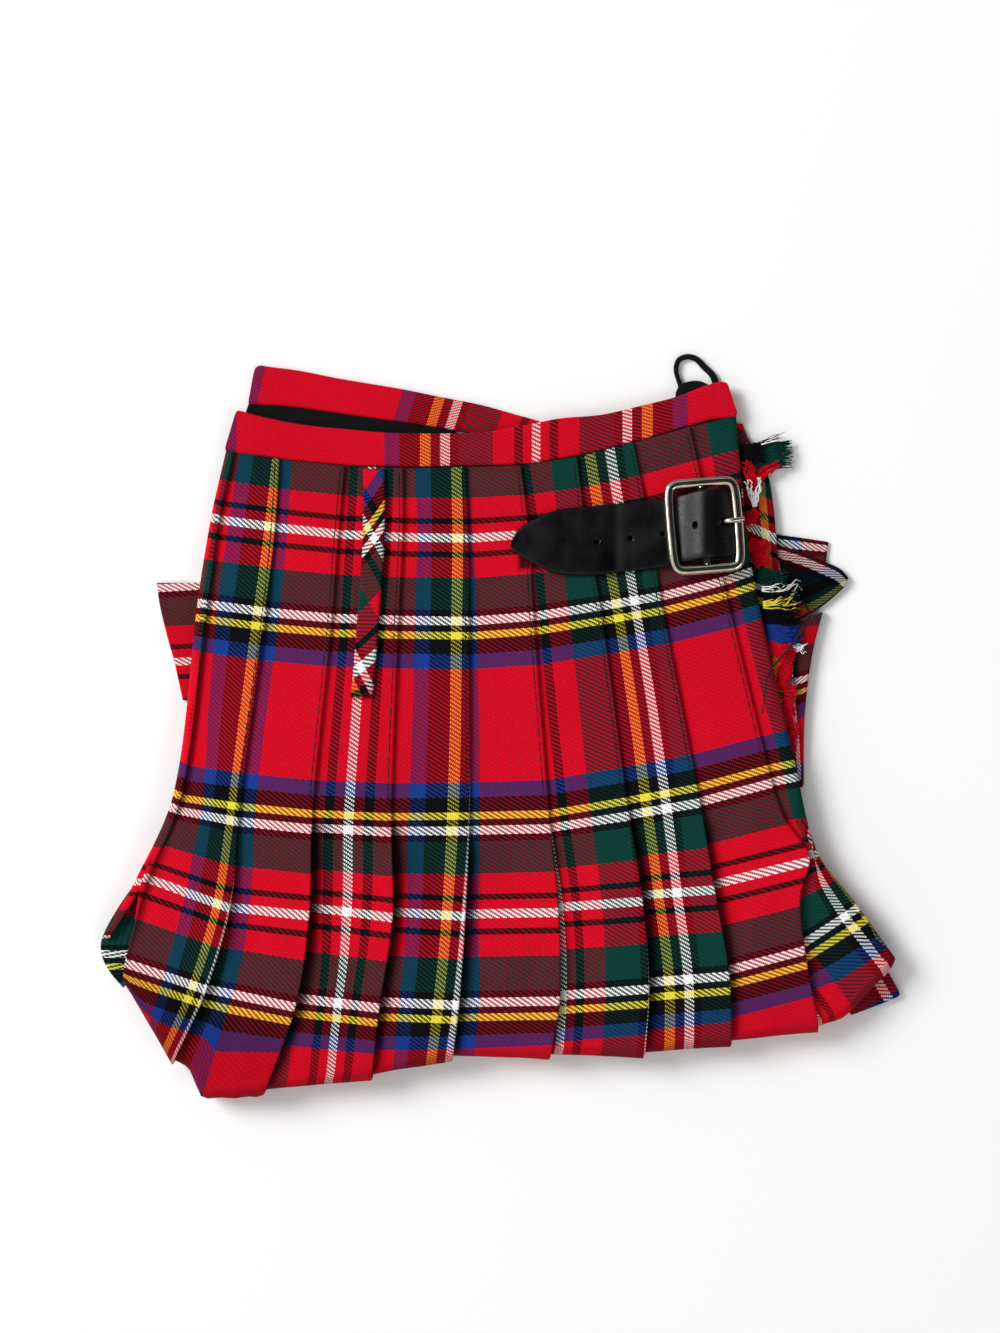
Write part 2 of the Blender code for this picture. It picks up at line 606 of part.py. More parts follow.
def bed_slope():
    """Fall of the pleats towards the waist, over the length of the buckle."""
    x, y = BUCKLE_PLACE
    return (pleat_crest(x, y + BED_REACH) - pleat_crest(x, y - BED_REACH)) / (2 * BED_REACH)


def buckle_bed(x, y):
    """Flat, sloping bed that the buckle and its tab lie on."""
    low = pleat_crest(BUCKLE_PLACE[0] - BED_REACH, BUCKLE_PLACE[1] - BED_REACH)
    return low + bed_slope() * (y - BUCKLE_PLACE[1] + BED_REACH)


def bed(x, y):
    """The pleats' folded edges, blended into the buckle's flat bed."""
    share = min(max((x - BED_BLEND[0]) / (BED_BLEND[1] - BED_BLEND[0]), 0.0), 1.0)
    return between(pleat_crest(x, y), max(pleat_crest(x, y), buckle_bed(x, y)), share)


def add_cutter(name, mesh):
    data = bpy.data.meshes.new(name)
    mesh.to_mesh(data)
    mesh.free()
    made = bpy.data.objects.new(name, data)
    made.hide_render = True
    made.display_type = "WIRE"
    cutters.objects.link(made)
    return made


def build_strap(leather):
    strap = slab("strap", STRAP_UPPER, STRAP_LOWER, STRAP_ROWS, 2,
                 lambda x, y: bed(x, y) + table(STRAP_LIFT, x), LEATHER, leather, edge=0.6)
    mesh = bmesh.new()
    for x, y, radius in HOLES:
        made = bmesh.ops.create_cone(mesh, cap_ends=True, segments=8, radius1=radius * MM,
                                     radius2=radius * MM, depth=40 * MM)
        bmesh.ops.translate(mesh, verts=made["verts"], vec=Vector((x, y, 10.0)) * MM)
    cut = strap.modifiers.new("Holes", "BOOLEAN")
    cut.object = add_cutter("strap_holes", mesh)
    cut.operation = "DIFFERENCE"
    return strap


def rounded_outline(curve, size, corner, steps=4):
    """One closed rounded rectangle in a flat curve."""
    half_x, half_y = size[0] / 2 - corner, size[1] / 2 - corner
    points = []
    for quarter, (side_x, side_y) in enumerate(((1, 1), (-1, 1), (-1, -1), (1, -1))):
        for step in range(steps + 1):
            turn = math.radians(90.0 * (quarter + step / steps))
            points.append((side_x * half_x + corner * math.cos(turn),
                           side_y * half_y + corner * math.sin(turn)))
    line = curve.splines.new("POLY")
    line.points.add(len(points) - 1)
    for point, (x, y) in zip(line.points, points):
        point.co = (x * MM, y * MM, 0.0, 1.0)
    line.use_cyclic_u = True


def mesh_from(curve_object, finish):
    """Welded mesh object in place of a curve object."""
    bpy.context.view_layer.update()
    graph = bpy.context.evaluated_depsgraph_get()
    data = bpy.data.meshes.new_from_object(curve_object.evaluated_get(graph))
    mesh = bmesh.new()
    mesh.from_mesh(data)
    bmesh.ops.remove_doubles(mesh, verts=mesh.verts, dist=WELD)
    bmesh.ops.recalc_face_normals(mesh, faces=mesh.faces)
    name = curve_object.name
    place = curve_object.matrix_world.copy()
    bpy.data.objects.remove(curve_object)
    bpy.data.meshes.remove(data)
    made = add_object(name, mesh, finish)
    made.matrix_world = place
    return made


def lay_on_bed(item, lift):
    """Place an object over the buckle's middle, sloping with its bed."""
    item.location = Vector((*BUCKLE_PLACE, buckle_bed(*BUCKLE_PLACE) + lift)) * MM
    item.rotation_euler = (math.atan(bed_slope()), 0.0, math.radians(BUCKLE_TURN))


def build_buckle(steel, leather):
    curve = bpy.data.curves.new("buckle_frame", "CURVE")
    curve.dimensions = "2D"
    curve.fill_mode = "BOTH"
    curve.extrude = (BUCKLE_THICK / 2 - 0.5) * MM
    curve.bevel_depth = 0.5 * MM
    curve.bevel_resolution = 0
    curve.offset = -0.5 * MM
    rounded_outline(curve, BUCKLE_SIZE, BUCKLE_CORNER)
    window = (BUCKLE_SIZE[0] - 2 * BUCKLE_BAR, BUCKLE_SIZE[1] - 2 * BUCKLE_BAR)
    rounded_outline(curve, window, BUCKLE_CORNER - BUCKLE_BAR + 1.0)
    outline = bpy.data.objects.new("buckle_frame", curve)
    lay_on_bed(outline, BUCKLE_LIFT + BUCKLE_THICK / 2)
    kilt.objects.link(outline)
    frame = mesh_from(outline, steel)

    bar = bmesh.new()
    bmesh.ops.create_cone(bar, cap_ends=True, segments=10, radius1=CENTRE_BAR * MM, radius2=CENTRE_BAR * MM,
                          depth=(BUCKLE_SIZE[1] - BUCKLE_BAR) * MM)
    bmesh.ops.rotate(bar, verts=bar.verts, matrix=Matrix.Rotation(math.radians(90.0), 3, "X"))
    cutter = add_cutter("centre_bar", bar)
    lay_on_bed(cutter, CENTRE_LIFT)
    join = frame.modifiers.new("Centre bar", "BOOLEAN")
    join.object = cutter
    join.operation = "UNION"

    half_x, half_y = TAB_SIZE[0] / 2, TAB_SIZE[1] / 2
    turn = math.radians(BUCKLE_TURN)
    corners = []
    for x, y in ((-half_x, half_y), (-half_x, -half_y), (half_x, half_y), (half_x, -half_y)):
        corners.append((BUCKLE_PLACE[0] + x * math.cos(turn) - y * math.sin(turn),
                        BUCKLE_PLACE[1] + x * math.sin(turn) + y * math.cos(turn)))
    slab("buckle_tab", corners[:2], corners[2:], 4, 2,
         lambda x, y: buckle_bed(x, y) + GAP, TAB_THICK, leather, edge=0.5)


def tube(name, points, radius, finish, closed=False):
    """Round wire through points, with filled ends."""
    curve = bpy.data.curves.new(name, "CURVE")
    curve.dimensions = "3D"
    curve.bevel_depth = radius * MM
    curve.bevel_resolution = 2
    curve.use_fill_caps = not closed
    line = curve.splines.new("POLY")
    line.points.add(len(points) - 1)
    for point, place in zip(line.points, points):
        point.co = (place.x * MM, place.y * MM, place.z * MM, 1.0)
    line.use_cyclic_u = closed
    curve.materials.append(finish)
    made = bpy.data.objects.new(name, curve)
    kilt.objects.link(made)
    return made


def build_prong(steel):
    """Prong from the centre bar, up through the strap's hole, and over the outer bar."""
    points = [Vector((x, y, buckle_bed(x, y) + lift)) for x, y, lift in PRONG]
    fine = [spline(points, index / 2) for index in range(2 * len(points) - 1)]
    return tube("buckle_prong", fine, PRONG_RADIUS, steel)


def build_tapes(black):
    points = []
    count = 30
    for index in range(count + 1):
        plan = spline(HANG_LINE, index / count * (len(HANG_LINE) - 1))
        points.append(raised(plan, HANG_HEIGHT))
    tube("hanging_loop", points, HANG_RADIUS, black)
    over = HANG_HEIGHT + HANG_RADIUS + GAP
    slab("tape_end", TAPE_OUTER, TAPE_INNER, 10, 2, lambda x, y: over, CLOTH, black)


def clear_scene():
    for item in list(bpy.data.objects):
        bpy.data.objects.remove(item)


def add_collection(name):
    made = bpy.data.collections.new(name)
    bpy.context.scene.collection.children.link(made)
    return made


clear_scene()
kilt = add_collection("kilt")
cutters = add_collection("cutters")

tartan = material("tartan wool", (0.55, 0.02, 0.03), 0.85)
inner_wool = material("tartan wool inside", (0.30, 0.02, 0.03), 0.9)
black_tape = material("black cotton", (0.01, 0.01, 0.012), 0.9)
black_leather = material("black leather", (0.012, 0.012, 0.014), 0.45)
plated_steel = material("nickel-plated steel", (0.72, 0.70, 0.66), 0.22, 1.0)

build_core(inner_wool)
build_pleats(tartan)
build_bands(tartan, black_tape)
build_side_sheets(tartan)
build_fringe(tartan)
build_loop(tartan)
build_strap(black_leather)
build_buckle(plated_steel, black_leather)
build_prong(plated_steel)
build_tapes(black_tape)
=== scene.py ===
# %% [markdown]
# # A tartan kilt, folded in half and laid on its aprons
# A kilt is one long length of worsted twill, pleated at the back and flat at the front. This one
# is buckled, lies on its aprons with the pleats up, and its lower half is folded under. The frame
# below is the measured solid model; every piece here is laid over it in the same place.

import math

import bmesh
import bpy
from mathutils import Matrix, Vector, noise


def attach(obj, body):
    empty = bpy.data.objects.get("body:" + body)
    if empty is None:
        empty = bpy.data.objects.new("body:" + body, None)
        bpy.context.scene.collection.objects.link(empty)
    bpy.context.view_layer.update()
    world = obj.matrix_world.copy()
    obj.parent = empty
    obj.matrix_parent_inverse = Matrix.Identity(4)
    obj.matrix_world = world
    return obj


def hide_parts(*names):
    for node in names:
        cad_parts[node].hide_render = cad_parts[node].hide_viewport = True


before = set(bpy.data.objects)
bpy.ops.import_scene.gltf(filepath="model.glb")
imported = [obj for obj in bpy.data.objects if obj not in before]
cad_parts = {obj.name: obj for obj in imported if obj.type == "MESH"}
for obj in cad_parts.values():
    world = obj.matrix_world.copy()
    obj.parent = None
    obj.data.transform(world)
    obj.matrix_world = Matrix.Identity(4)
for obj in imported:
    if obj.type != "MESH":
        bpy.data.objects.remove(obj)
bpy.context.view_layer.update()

# %% [markdown]
# ## Finishes and light in nodes
# Cloth, leather, metal and the tent's walls are all drawn by nodes, from sums and soft noise. One
# function adds any node with its settings and links, and one starts each finish.

# %% Node helpers
def colour(code):
    """Linear colour from an sRGB hex code."""
    parts = [int(code[place:place + 2], 16) / 255 for place in (0, 2, 4)]
    linear = [part / 12.92 if part <= 0.04045 else ((part + 0.055) / 1.055) ** 2.4
              for part in parts]
    return (*linear, 1.0)


def node(tree, kind, links=(), **settings):
    """Add a node with its settings; links gives each input a value or another node's output."""
    made = tree.nodes.new("ShaderNode" + kind)
    for key, value in settings.items():
        setattr(made, key, value)
    for socket, source in dict(links).items():
        if isinstance(source, bpy.types.NodeSocket):
            tree.links.new(source, made.inputs[socket])
        else:
            made.inputs[socket].default_value = source
    return made


def new_material(name, **values):
    """Material with one Principled shader; each plain value goes to the socket of that name."""
    made = bpy.data.materials.new(name)
    made.use_nodes = True
    tree = made.node_tree
    shader = tree.nodes["Principled BSDF"]
    for key, value in values.items():
        shader.inputs[key.replace("_", " ")].default_value = value
    return made, tree, shader


# %% [markdown]
# ## Camera, floor and light
# The kilt is seen from straight above, through a lens long enough to keep its edges parallel, on a
# plain floor of nearly white paper. One wide lamp at the upper left gives the soft shade under the
# folds, and a weak one opposite fills them. Around both stands a light tent, brighter on one side
# and open where the camera looks in, because polished metal shows whatever stands round it.

# %% Camera
MM = 0.001
CAMERA_HEIGHT = 1.4384
CAMERA_ACROSS = 0.0279      # how far the view's middle lies above the kilt's, towards the waist
scene = bpy.context.scene
camera_data = bpy.data.cameras.new("camera")
camera_data.lens = 85.0
camera_data.sensor_fit = "VERTICAL"
camera_data.sensor_height = 36.0
camera = bpy.data.objects.new("camera", camera_data)
camera.location = (0.0, CAMERA_ACROSS, CAMERA_HEIGHT)
scene.collection.objects.link(camera)
scene.camera = camera
scene.view_settings.view_transform = "Standard"

# %% Lamps
LAMPS = (
    # name, place, width, power in watts
    ("lamp_key", (-3.3, 1.7, 3.1), 2.1, 202.0),
    ("lamp_fill", (2.6, -1.6, 3.8), 2.4, 26.0),
)
for name, place, width, power in LAMPS:
    data = bpy.data.lights.new(name, "AREA")
    data.size = width
    data.energy = power
    lamp = bpy.data.objects.new(name, data)
    lamp.location = place
    lamp.rotation_mode = "QUATERNION"
    lamp.rotation_quaternion = (-Vector(place)).to_track_quat("-Z", "Y")
    scene.collection.objects.link(lamp)
print("lamps:", len(LAMPS))

# %% Sky of the light tent
# how bright the tent is by height, from the floor line to straight up, where the camera looks in
TENT = ((0.0, 0.06), (0.14, 0.06), (0.22, 0.9), (0.45, 1.3), (0.50, 0.8), (0.76, 1.7), (0.9, 1.9))
TENT_SIDE = (-0.75, -0.5, 0.0)      # the brighter side of the tent
TENT_HOLE = (0.27, 0.16, 0.949)     # its dark opening, a little beside straight up
SKY = 0.35                          # strength of the tent's light
sky = bpy.data.worlds.new("sky")
sky.use_nodes = True
walls = sky.node_tree
direction = node(walls, "TexCoord").outputs["Generated"]
upward = node(walls, "SeparateXYZ", {0: direction}).outputs[2]
tent = node(walls, "ValToRGB", {0: upward})
for index, (height, light) in enumerate(TENT):
    elements = tent.color_ramp.elements
    stop = elements[index] if index < 2 else elements.new(height)
    stop.position = height
    stop.color = (light, light, light, 1.0)
facing = node(walls, "VectorMath", {0: direction, 1: TENT_SIDE}, operation="DOT_PRODUCT")
side = node(walls, "MapRange", {0: facing.outputs["Value"], 1: -0.7, 2: 0.7,
                                3: 0.3, 4: 1.7})
near = node(walls, "VectorMath", {0: direction, 1: TENT_HOLE}, operation="DOT_PRODUCT")
hole = node(walls, "MapRange", {0: near.outputs["Value"], 1: 0.89, 2: 0.935,
                                3: SKY, 4: 0.06 * SKY})
power = node(walls, "Math", {0: side.outputs[0], 1: hole.outputs[0]},
             operation="MULTIPLY")
background = walls.nodes["Background"]
walls.links.new(tent.outputs[0], background.inputs["Color"])
walls.links.new(power.outputs[0], background.inputs["Strength"])
scene.world = sky
print("tent walls:", len(TENT), "steps")

# %% [markdown]
# ## The sett: one order of coloured threads
# A tartan is a list of stripe widths, its sett, that turns back on itself at both ends. The warp
# runs down the kilt and the weft runs across it, in nearly the same order. Here the widths are
# millimetres of cloth from the middle of the wide red stripe to that of the narrow white one.

# %% Sett
WOOL = {"red": "CF0A22", "blue": "1B3A8C", "black": "0D0D11", "yellow": "ECDD42",
        "white": "F4F4F2", "green": "0B3B33"}
WARP = (("red", 33.59), ("blue", 6.86), ("black", 9.14), ("yellow", 4.57), ("black", 4.57),
        ("white", 4.34), ("black", 3.66), ("green", 16.00), ("red", 9.60), ("black", 4.11),
        ("red", 3.88), ("white", 2.29))
WEFT = (("red", 25.71), ("blue", 6.74), ("black", 6.74), ("yellow", 3.31), ("black", 2.86),
        ("white", 4.11), ("black", 2.97), ("green", 14.74), ("red", 9.25), ("black", 2.97),
        ("red", 4.34), ("white", 2.06))
END = 0.731     # mm from one warp thread to the next
PICK = 0.489    # mm from one weft thread to the next
HALF_WARP = sum(width for name, width in WARP)
HALF_WEFT = sum(width for name, width in WEFT)
print("half setts:", round(HALF_WARP, 1), "and", round(HALF_WEFT, 1), "mm")


def stripes(tree, place, sett, half):
    """Thread colour at a distance across the stripes; the sett turns back at both ends."""
    turned = node(tree, "Math", {0: place, 1: half}, operation="PINGPONG")
    share = node(tree, "Math", {0: turned.outputs[0], 1: half}, operation="DIVIDE")
    ramp = node(tree, "ValToRGB", {0: share.outputs[0]})
    ramp.color_ramp.interpolation = "CONSTANT"
    elements = ramp.color_ramp.elements
    elements.remove(elements[1])
    start = 0.0
    for index, (name, width) in enumerate(sett):
        element = elements[0] if index == 0 else elements.new(start / half)
        element.color = colour(WOOL[name])
        start += width
    return ramp.outputs[0]


def weft_dye(tree, along):
    """The weft's colour; the mark 0 lies on the middle of the narrow white stripe."""
    turned = node(tree, "Math", {0: along, 1: HALF_WEFT}, operation="ADD")
    return stripes(tree, turned.outputs[0], WEFT, HALF_WEFT)

# %% [markdown]
# ## The weave: two over, two under
# Each thread of a 2/2 twill passes over two threads and under two, one step further along in each
# row, which draws slanting lines. Where two colours cross, the weft shows more than the warp, and
# both are painted darker beside each other: painted shade for the threads shading one another.
# Counting threads in whole numbers gives the steps; their rounded tops give the relief, both as a
# bump and as painted shade in the furrows with a painted highlight on each top.

# %% Twill material
WEFT_SHOWS = 0.64       # how much of its own colour a weft thread keeps beside a darker warp
WARP_SHOWS = 0.38
BRIGHT_SHOWS = 0.20     # how much more a white or yellow weft keeps
BESIDE_BRIGHT = 0.22    # and how much darker the warp looks beside it
PALE_SHOWS = 0.52       # how much more a white warp shows
WARP_NARROW = 0.40      # warp threads are thinner than their spacing
GROOVE_SHADE = 0.32           # painted shade: brightness of the furrow between two threads
THREAD_TOP_HIGHLIGHT = 1.40       # and painted highlight: brightness of a thread's rounded top
WARP_SUNK_SHADE = 0.84        # painted shade on the warp, which lies a little deeper than the weft
DEEP_SHADE = 0.06       # brightness that painted shade leaves in the deepest fold
TWILL_RELIEF = 0.00014  # metres


def thread_count(tree, place, pitch):
    """Number of a thread, and a rounded profile across it."""
    count = node(tree, "Math", {0: place, 1: pitch}, operation="DIVIDE").outputs[0]
    whole = node(tree, "Math", {0: count}, operation="FLOOR").outputs[0]
    rest = node(tree, "Math", {0: count}, operation="FRACT").outputs[0]
    turn = node(tree, "Math", {0: rest, 1: math.pi}, operation="MULTIPLY").outputs[0]
    return whole, node(tree, "Math", {0: turn}, operation="SINE").outputs[0]


def slubs(tree, marks, stretch, low, high):
    """Uneven brightness along single threads."""
    place = node(tree, "Mapping", {"Vector": marks, "Scale": (*stretch, 1.0)}).outputs[0]
    cloud = node(tree, "TexNoise", {"Vector": place, "Scale": 1.0, "Detail": 2.0})
    return node(tree, "MapRange", {0: cloud.outputs[0], 1: 0.3, 2: 0.7, 3: low, 4: high}
                ).outputs[0]


def tartan(name, shade_tone=1.0):
    """Worsted twill in the sett, drawn from the marks that the cloth carries; a tone below 1 makes a
    copy painted darker all over, as painted shade.
    """
    made, tree, shader = new_material(
        name, Roughness=0.9, Specular_IOR_Level=0.05, Sheen_Weight=0.01, Sheen_Roughness=0.45)
    marks = node(tree, "UVMap", uv_map="cloth").outputs[0]
    split = node(tree, "SeparateXYZ", {0: marks})
    warp = stripes(tree, split.outputs[0], WARP, HALF_WARP)
    weft = weft_dye(tree, split.outputs[1])
    end, end_top = thread_count(tree, split.outputs[0], END)
    pick, pick_top = thread_count(tree, split.outputs[1], PICK)
    step = node(tree, "Math", {0: end, 1: pick}, operation="SUBTRACT")
    step = node(tree, "Math", {0: step.outputs[0], 1: 4.0}, operation="FLOORED_MODULO")
    over = node(tree, "Math", {0: step.outputs[0], 1: 1.5}, operation="LESS_THAN").outputs[0]
    body = node(tree, "Math", {0: end_top, 1: WARP_NARROW}, operation="GREATER_THAN")
    warp_up = node(tree, "Math", {0: over, 1: body.outputs[0]},
                   operation="MULTIPLY").outputs[0]
    shade = node(tree, "Mix", {0: 1.0, 6: warp, 7: weft}, data_type="RGBA",
                 blend_type="DARKEN").outputs[2]
    bright = node(tree, "SeparateXYZ", {0: weft}).outputs[1]
    shows = node(tree, "Math", {0: bright, 1: BRIGHT_SHOWS, 2: WEFT_SHOWS},
                 operation="MULTIPLY_ADD")
    weft_seen = node(tree, "Mix", {0: shows.outputs[0], 6: shade, 7: weft},
                     data_type="RGBA")
    pale = node(tree, "SeparateXYZ", {0: warp}).outputs[2]
    shows = node(tree, "Math", {0: pale, 1: PALE_SHOWS, 2: WARP_SHOWS},
                 operation="MULTIPLY_ADD")
    warp_seen = node(tree, "Mix", {0: shows.outputs[0], 6: shade, 7: warp},
                     data_type="RGBA")
    seen = node(tree, "Mix", {0: warp_up, 6: weft_seen.outputs[2], 7: warp_seen.outputs[2]},
                data_type="RGBA")
    height = node(tree, "Mix", {0: over, 2: pick_top, 3: end_top}, data_type="FLOAT")
    # painted shade in each furrow and a painted highlight on each thread's rounded top
    furrow_shading = node(tree, "MapRange", {0: height.outputs[0], 1: 0.0, 2: 0.85,
                                     3: GROOVE_SHADE * shade_tone, 4: THREAD_TOP_HIGHLIGHT * shade_tone})
    dull = node(tree, "SeparateXYZ", {0: warp}).outputs[1]
    dull = node(tree, "Math", {0: dull, 1: BESIDE_BRIGHT, 2: -BESIDE_BRIGHT},
                operation="MULTIPLY_ADD")
    low = node(tree, "Math", {0: bright, 1: dull.outputs[0], 2: WARP_SUNK_SHADE},
               operation="MULTIPLY_ADD")
    # painted shade on the warp where it lies deeper
    sunk_shade = node(tree, "MapRange", {0: over, 3: 1.0, 4: low.outputs[0]})
    painted_shading = node(tree, "Math", {0: furrow_shading.outputs[0], 1: sunk_shade.outputs[0]}, operation="MULTIPLY")
    slub = slubs(tree, marks, (0.5, 1.9), 0.90, 1.08)
    both = node(tree, "Math", {0: painted_shading.outputs[0], 1: slub}, operation="MULTIPLY")
    place = node(tree, "TexCoord").outputs["Object"]
    cloud = node(tree, "TexNoise", {"Vector": place, "Scale": 22.0, "Detail": 3.0})
    patch = node(tree, "MapRange", {0: cloud.outputs[0], 1: 0.3, 2: 0.7, 3: 0.94, 4: 1.05})
    value = node(tree, "Math", {0: both.outputs[0], 1: patch.outputs[0]}, operation="MULTIPLY")
    # painted shade: the cloth's third mark darkens the colour, down to the deepest fold's brightness
    painted_shade = node(tree, "Attribute", attribute_name="painted_shade").outputs["Fac"]
    painted_shade_factor = node(tree, "MapRange", {0: painted_shade, 3: 1.0, 4: DEEP_SHADE})
    value = node(tree, "Math", {0: value.outputs[0], 1: painted_shade_factor.outputs[0]}, operation="MULTIPLY")
    dyed = node(tree, "HueSaturation", {"Value": value.outputs[0], "Color": seen.outputs[2]})
    tree.links.new(dyed.outputs[0], shader.inputs["Base Color"])
    nap = node(tree, "TexNoise", {"Vector": place, "Scale": 1800.0, "Detail": 2.0})
    rough = node(tree, "Math", {0: nap.outputs[0], 1: 0.7, 2: height.outputs[0]},
                 operation="MULTIPLY_ADD")
    bump = node(tree, "Bump", {"Strength": 0.55, "Distance": TWILL_RELIEF,
                               "Height": rough.outputs[0]})
    tree.links.new(bump.outputs[0], shader.inputs["Normal"])
    return made


worsted = tartan("tartan_worsted_twill")
# a copy painted darker all over: painted shade for the folded-under layers
worsted_shaded = tartan("tartan_worsted_twill_painted_shade", 0.8)
print("twill lines every", round(4 * END, 2), "mm across and", round(4 * PICK, 2), "mm down")

# %% [markdown]
# ## The folded stack and the pleats' fold lines
# Everything under the pleats is the kilt's other half: aprons, hem and the rest of the pleats. It
# makes one low hill. The tables give that hill's height and the folded edge of each knife pleat,
# at the waist seam, two white stripes, the end of the stitching, two more stripes and the foot.

# %% Fold lines
GAP = 0.3       # mm between things that lie on each other
CLOTH = 1.3     # thickness of one layer with its nap
STACK = ((-150.0, 16.0), (-100.0, 15.0), (-40.0, 13.4), (30.0, 11.6), (64.0, 9.6), (90.0, 6.4),
         (118.0, 5.5), (150.0, 5.7))
EDGE_FALL = 0.15
FOLDS = (
    ((-121.9, 125.7), (-128.2, 94.8), (-133.9, 56.0), (-143.0, -31.8),
     (-158.6, -67.9), (-169.1, -106.3), (-171.4, -117.7)),
    ((-100.1, 122.2), (-101.9, 91.2), (-105.6, 52.3), (-117.4, -35.4),
     (-121.6, -80.7), (-132.2, -117.7), (-148.4, -152.9)),
    ((-70.4, 119.0), (-73.1, 88.0), (-75.9, 49.6), (-84.5, -38.6),
     (-85.8, -83.9), (-92.0, -125.4), (-106.9, -166.1)),
    ((-43.9, 118.1), (-43.9, 86.6), (-45.7, 48.7), (-48.9, -40.0),
     (-48.2, -84.8), (-54.2, -125.9), (-57.9, -159.7)),
    ((-15.5, 118.6), (-14.2, 86.1), (-13.7, 48.2), (-13.7, -39.5),
     (-15.5, -84.3), (-18.3, -124.5), (-21.5, -151.0)),
    ((9.6, 119.3), (13.3, 88.0), (15.5, 50.5), (22.4, -38.6),
     (26.5, -82.5), (27.0, -122.7), (22.4, -150.6)),
    ((35.2, 123.2), (39.3, 90.7), (45.7, 55.1), (57.6, -32.7),
     (64.4, -77.5), (67.2, -117.2), (65.4, -149.7)),
    ((60.8, 129.6), (67.6, 95.3), (73.0, 59.6), (89.4, -26.7),
     (96.9, -72.4), (103.4, -111.3), (104.7, -144.2)),
    ((86.4, 136.9), (94.1, 101.7), (101.5, 66.5), (121.6, -18.1),
     (132.5, -61.5), (137.6, -99.9), (144.4, -138.2)),
    ((107.4, 141.9), (110.6, 106.7), (114.7, 71.1), (133.9, -15.8),
     (144.0, -56.0), (162.0, -80.5), (180.3, -106.0)),
)
SIDE_OUTER = ((-124.8, 125.9), (-131.6, 95.7), (-137.6, 56.4), (-148.1, -29.0), (-165.9, -69.7),
              (-180.6, -95.5))
SIDE_INNER = ((-120.9, 125.7), (-127.2, 94.8), (-132.2, 56.0), (-143.9, -30.8), (-161.0, -69.7),
              (-177.3, -95.5))


def between(first, second, share):
    return first + (second - first) * share


def clamped(value):
    return min(max(value, 0.0), 1.0)


def soft(share):
    """A share that starts and ends slowly."""
    return share * share * (3.0 - 2.0 * share)


def spline(points, place):
    """Smooth curve through points, at a place counted in points; it runs straight past its ends."""
    last = len(points) - 1
    index = min(max(int(math.floor(place)), 0), last - 1)
    share = place - index
    knots = [Vector(points[min(max(index + step, 0), last)]) for step in (-1, 0, 1, 2)]
    length = (knots[2] - knots[1]).length
    leave = (knots[2] - knots[0]) / (length + (knots[1] - knots[0]).length)
    arrive = (knots[3] - knots[1]) / (length + (knots[3] - knots[2]).length)
    if share < 0.0:
        return knots[1] + leave * (length * share)
    if share > 1.0:
        return knots[2] + arrive * (length * (share - 1.0))
    square = share * share
    cube = square * share
    return ((2 * cube - 3 * square + 1) * knots[1] + (cube - 2 * square + share) * length * leave
            + (3 * square - 2 * cube) * knots[2] + (cube - square) * length * arrive)


def along_curve(points, share):
    """The same curve at a share of its way, from 0 to 1."""
    return spline(points, share * (len(points) - 1))


def sampled(knots, steps):
    """Points along it, with a number of steps from one knot to the next."""
    return [spline(knots, step / steps) for step in range(steps * (len(knots) - 1) + 1)]


def table(rows, key, column=1):
    """One column of a table at a value of its first column, blended softly between rows."""
    if key <= rows[0][0]:
        return rows[0][column]
    for before, after in zip(rows, rows[1:]):
        if key <= after[0]:
            share = (key - before[0]) / (after[0] - before[0])
            return between(before[column], after[column], 0.5 * (share + soft(share)))
    return rows[-1][column]


def straight(rows, key, column=1):
    """The same with straight lines between the rows and past the ends."""
    for before, after in zip(rows, rows[1:]):
        if key <= after[0]:
            break
    return between(before[column], after[column], (key - before[0]) / (after[0] - before[0]))


def fold_x(fold, y):
    for upper, lower in zip(fold, fold[1:]):
        if y >= lower[1]:
            return between(upper[0], lower[0], (upper[1] - y) / (upper[1] - lower[1]))
    return fold[-1][0]


def stack(x, y):
    """Height of the folded layers that carry the pleats, in mm."""
    left = fold_x(FOLDS[0], y)
    right = fold_x(FOLDS[-1], y)
    side = min(abs(2.0 * (x - left) / (right - left) - 1.0), 1.0)
    return table(STACK, y) * (1.0 - EDGE_FALL * side ** 4)

# %% [markdown]
# ## Creases
# Pressed worsted stays flat where it is stitched and rolls softly where it hangs free. Each row of
# the table is one ridge or trough: its two ends, half width and height. A slow
# unevenness is added, stronger towards the foot.

# %% Crease table
CREASES = (
    # x, y, x, y, half width, height
    (-150.0, -40.0, -128.0, -100.0, 7.0, 0.9),
    (-165.0, -75.0, -140.0, -135.0, 6.0, -0.9),
    (-130.0, -60.0, -112.0, -140.0, 6.0, 0.8),
    (-118.0, -95.0, -120.0, -160.0, 5.0, -0.8),
    (-100.0, -45.0, -98.0, -120.0, 7.0, 0.8),
    (-78.0, -50.0, -85.0, -150.0, 6.0, 0.7),
    (-65.0, -90.0, -70.0, -150.0, 5.0, -0.6),
    (-40.0, -60.0, -36.0, -150.0, 6.0, 0.6),
    (-5.0, -60.0, 2.0, -140.0, 8.0, 0.6),
    (18.0, -100.0, 10.0, -148.0, 5.0, -0.6),
    (45.0, -50.0, 50.0, -140.0, 7.0, 0.7),
    (80.0, -50.0, 88.0, -135.0, 7.0, 0.7),
    (112.0, -40.0, 122.0, -125.0, 8.0, 0.8),
    (96.0, -100.0, 120.0, -110.0, 6.0, -0.6),
    (140.0, -60.0, 162.0, -110.0, 6.0, 0.8),
    (-90.0, 20.0, -60.0, 10.0, 14.0, 0.35),
    (-10.0, 30.0, 8.0, -10.0, 12.0, -0.3),
    (60.0, 20.0, 100.0, 0.0, 12.0, 0.35),
    (-125.0, 60.0, -110.0, 20.0, 9.0, 0.4),
)
